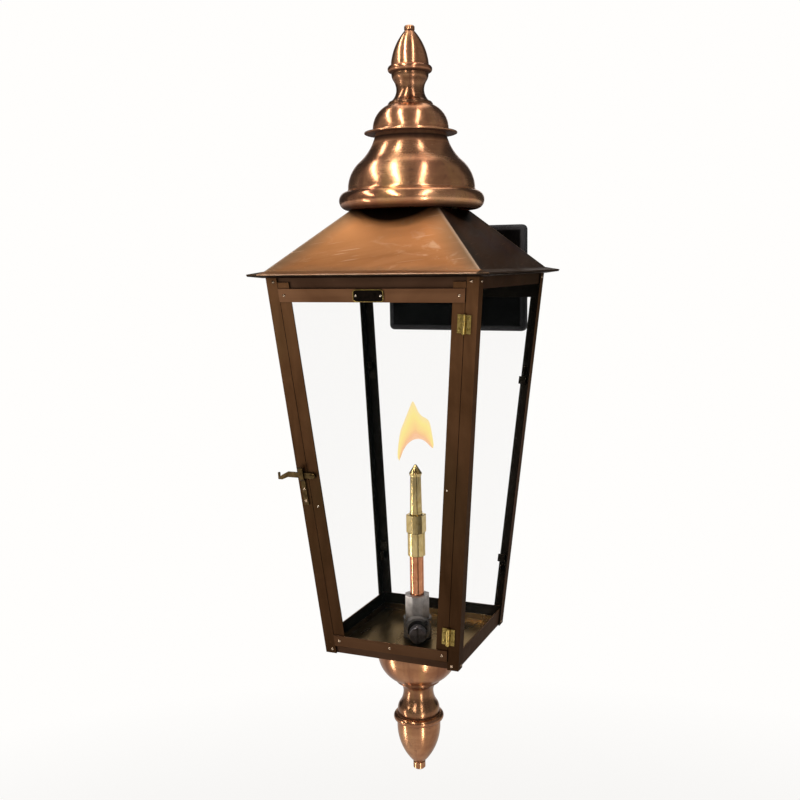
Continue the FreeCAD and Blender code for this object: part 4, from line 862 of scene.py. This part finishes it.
def rim_path():
    """Points (across, up) along the badge's edge, from its middle, a little inside it."""
    path = []
    for quarter, (x, z) in enumerate(((1, 1), (-1, 1), (-1, -1), (1, -1))):
        centre = Vector((x * (BADGE_HALF_WIDTH - BADGE_CORNER), z * (BADGE_HALF_HEIGHT - BADGE_CORNER)))
        for step in range(RIM_STEPS + 1):
            turn = math.pi / 2 * (quarter + step / RIM_STEPS)
            path.append(centre + Vector((math.cos(turn), math.sin(turn))) * (BADGE_CORNER - RIM_INSET))
    return path


def badge_rim():
    """A raised brass bead round the bare badge."""
    path = rim_path()
    curve = bpy.data.curves.new("badge_rim", "CURVE")
    curve.dimensions = "3D"
    curve.bevel_depth = RIM_RADIUS * MM
    curve.bevel_resolution = 3
    line = curve.splines.new("POLY")
    line.points.add(len(path) - 1)
    line.use_cyclic_u = True
    for point, spot in zip(line.points, path):
        point.co = (*(FRONT_FACE @ Vector((spot.x, BADGE_FRONT, BADGE_UP + spot.y))), 1.0)
    new_piece("badge_rim", curve, BRASS, "door")


badge_rim()

# Flame: a crescent hood of rings from one tail over the tip to the other, in millimetres across and up
FLAME_OUTER = [
    (-17.9, 4.6), (-19.7, 8.3), (-19.7, 15.7), (-18.2, 28.0), (-15.9, 39.5), (-11.9, 49.6),
    (-7.1, 61.3), (-4.4, 68.0), (-1.8, 72.0), (1.9, 65.3), (4.3, 59.8), (8.3, 55.1),
    (13.0, 52.4), (16.1, 48.9), (18.1, 41.5), (19.8, 31.3), (20.8, 22.5), (19.8, 18.2),
]
FLAME_INNER = [
    (-17.9, 4.6), (-16.7, 8.0), (-15.9, 9.8), (-13.2, 16.6), (-9.2, 22.6), (-6.5, 25.3),
    (-3.8, 27.3), (-1.1, 28.6), (1.6, 29.1), (3.5, 29.3), (5.3, 29.1), (7.0, 28.8),
    (9.6, 27.6), (12.3, 25.6), (14.4, 23.6), (16.4, 21.3), (18.4, 19.4), (19.8, 18.2),
]
FLAME_BASE = -213.6
FLAME_TURN = math.radians(22.5)
FLAME_RINGS = 69
FLAME_SIDES = 24
FLAME_DEPTH = 7.0
FLAME_FULLNESS = 0.6
PATH_STEPS = 8


def smooth_path(points, count):
    """Points spread evenly along a smooth curve through the given ones."""
    knots = [points[0], *points, points[-1]]
    dense = []
    for index in range(1, len(knots) - 2):
        a, b, c, d = (Vector(knots[index + k]) for k in (-1, 0, 1, 2))
        for step in range(PATH_STEPS):
            t = step / PATH_STEPS
            slope = (c - a) * t
            bend = (2 * a - 5 * b + 4 * c - d) * t ** 2
            twist = (3 * b - a - 3 * c + d) * t ** 3
            dense.append((2 * b + slope + bend + twist) / 2)
    dense.append(Vector(points[-1]))
    return [dense[round(k * (len(dense) - 1) / (count - 1))] for k in range(count)]


def build_flame():
    """The flame's mesh. Its arch value runs from 0 on the outer edge to 1 on the inner one."""
    outer = smooth_path(FLAME_OUTER, FLAME_RINGS)
    inner = smooth_path(FLAME_INNER, FLAME_RINGS)
    bm = bmesh.new()
    band = bm.verts.layers.float.new("arch")
    turn = Matrix.Rotation(FLAME_TURN, 4, "Z")
    base = AXIS + Vector((0, 0, EAVE + FLAME_BASE * MM))
    rings = []
    for a, b in zip(outer, inner):
        middle = (a + b) / 2
        reach = (a - b) / 2
        depth = min(reach.length * FLAME_FULLNESS, FLAME_DEPTH)
        ring = []
        for step in range(FLAME_SIDES):
            angle = 2 * math.pi * step / FLAME_SIDES
            spot = middle + reach * math.cos(angle)
            local = Vector((spot.x, depth * math.sin(angle), spot.y)) * MM
            vert = bm.verts.new(base + turn @ local)
            vert[band] = (1 - math.cos(angle)) / 2
            ring.append(vert)
        rings.append(ring)
    join_rings(bm, rings)
    bmesh.ops.remove_doubles(bm, verts=bm.verts, dist=WELD_REACH)
    new_piece("flame", mesh_from("flame", bm), FLAME, "cage")


build_flame()

# Stage: a pale floor far below, white behind, a soft lamp above, and strip lamps for long highlights
WHITE = (1.0, 0.99, 0.975, 1.0)
LAMP_COLOUR = (1.0, 0.96, 0.90)
LAMP_TARGET = AXIS - 0.1 * UP
VIEW_AZIMUTH = math.radians(22.5)
VIEW_AHEAD = Vector((-math.sin(VIEW_AZIMUTH), math.cos(VIEW_AZIMUTH), 0))
OVERHEAD_RUN = VIEW_AHEAD + UP
FLOOR_TONES = ((0.3, (0.84, 0.83, 0.81)), (0.7, (0.88, 0.87, 0.85)))
FLOOR_Z = -2.2
FLOOR_HALF = 14.0
FLOOR_FADE = 5.0
BACKDROP_TILT = 0.12
BACKDROP_LEVELS = ((0.45, 0.22), (0.55, 0.05), (0.94, 0.05), (0.98, 1.0))
AMBIENT_LEVEL = 0.2


def pale_floor():
    """Pale matt paint that the camera sees turn to white farther out. Metal mirrors it dimmer than that."""
    paint = Paint("pale_floor", metallic=0.0, roughness=0.9)
    paint.set("Base Color", paint.ramp(paint.noise(3.0), *FLOOR_TONES))
    x, y, _ = paint.from_axis()
    away = paint.over(paint.length(x, y), FLOOR_FADE)
    rays = paint.node("ShaderNodeLightPath").outputs
    seen = paint.larger(rays["Is Camera Ray"], rays["Is Transmission Ray"])
    seen = paint.times(seen, paint.ramp(away, (0.15, 0.7), (0.8, 1.0)))
    mirrored = paint.times(rays["Is Glossy Ray"], paint.ramp(away, (0.2, 0.08), (0.8, 0.5)))
    both = paint.node("ShaderNodeMixShader")
    paint.feed(both.inputs[0], paint.larger(seen, mirrored))
    paint.feed(both.inputs[1], paint.shader.outputs[0])
    paint.feed(both.inputs[2], paint.node("ShaderNodeEmission", Color=WHITE).outputs[0])
    paint.feed(paint.tree.nodes["Material Output"].inputs["Surface"], both.outputs[0])
    return paint.material


def make_floor():
    """A wide floor far below, which keeps the shadow under the lantern."""
    mesh = bpy.data.meshes.new("floor")
    signs = ((-1, -1), (1, -1), (1, 1), (-1, 1))
    mesh.from_pydata([(x * FLOOR_HALF, y * FLOOR_HALF, FLOOR_Z) for x, y in signs], [], [(0, 1, 2, 3)])
    mesh.materials.append(pale_floor())
    floor = bpy.data.objects.new("floor", mesh)
    bpy.context.collection.objects.link(floor)


def make_world():
    """White for the camera and through glass. Metal mirrors a white backdrop between two dark flags."""
    world = bpy.data.worlds.new("studio")
    bpy.context.scene.world = world
    world.use_nodes = True
    sky = Nodes(world.node_tree)
    direction = sky.node("ShaderNodeTexCoord").outputs["Generated"]
    facing = sky.vector("DOT_PRODUCT", direction, (VIEW_AHEAD + BACKDROP_TILT * UP).normalized())
    rays = sky.node("ShaderNodeLightPath").outputs
    studio = sky.node("ShaderNodeMix", Factor=rays["Is Glossy Ray"], A=AMBIENT_LEVEL)
    sky.feed(studio.inputs["B"], sky.ramp(facing, *BACKDROP_LEVELS))
    seen = sky.larger(rays["Is Camera Ray"], rays["Is Transmission Ray"])
    background = sky.tree.nodes["Background"]
    sky.feed(background.inputs["Color"], WHITE)
    sky.feed(background.inputs["Strength"], sky.larger(studio.outputs["Result"], seen))


def add_lamp(name, azimuth, elevation, distance, size, power, run=UP):
    """A softbox aimed at the lantern, its long side along a run. Azimuth 0 is in front, right is positive."""
    data = bpy.data.lights.new(name, "AREA")
    data.shape = "RECTANGLE"
    data.size, data.size_y = size
    data.energy = power
    data.color = LAMP_COLOUR
    turn = math.radians(azimuth)
    lift = math.radians(elevation)
    level = Vector((math.sin(turn), -math.cos(turn), 0))
    direction = level * math.cos(lift) + UP * math.sin(lift)
    across = run.cross(direction).normalized()
    basis = Matrix((across, direction.cross(across), direction)).transposed().to_4x4()
    lamp = bpy.data.objects.new(name, data)
    lamp.matrix_world = Matrix.Translation(LAMP_TARGET + direction * distance) @ basis
    bpy.context.collection.objects.link(lamp)


def make_camera():
    """The photograph's view, worked out from the cage's corners."""
    pitch = math.radians(7.86)
    roll = math.radians(-0.79)
    distance = 1107.6 * MM
    height = 12.8 * MM
    right = Vector((VIEW_AHEAD.y, -VIEW_AHEAD.x, 0))
    forward = VIEW_AHEAD * math.cos(pitch) - UP * math.sin(pitch)
    upper = right.cross(forward)
    turned_right = right * math.cos(roll) + upper * math.sin(roll)
    turned_upper = upper * math.cos(roll) - right * math.sin(roll)
    data = bpy.data.cameras.new("camera")
    data.sensor_width = 36.0
    data.lens = 45.0
    data.shift_x = -0.0181
    camera = bpy.data.objects.new("camera", data)
    spot = AXIS + UP * (EAVE + height) - VIEW_AHEAD * distance
    basis = Matrix((turned_right, turned_upper, -forward)).transposed().to_4x4()
    camera.matrix_world = Matrix.Translation(spot) @ basis
    bpy.context.collection.objects.link(camera)
    bpy.context.scene.camera = camera


make_floor()
make_world()

# Lamps: azimuth and elevation in degrees, distance and size in metres, and power in watts
add_lamp("hood", -160, 70, 2.4, (1.6, 1.6), 13)
add_lamp("key_left", -13, 46, 2.4, (0.14, 3.0), 32, OVERHEAD_RUN)
add_lamp("side_left", -65, 42, 2.5, (0.14, 2.6), 20, OVERHEAD_RUN)
add_lamp("right_front", 48, 44, 2.5, (0.14, 3.0), 22, OVERHEAD_RUN)
add_lamp("low_left", -57, -27, 2.2, (0.12, 1.4), 12)
add_lamp("low_right", 43, -27, 2.2, (0.12, 1.4), 11)

make_camera()
bpy.context.scene.view_settings.view_transform = "Standard"
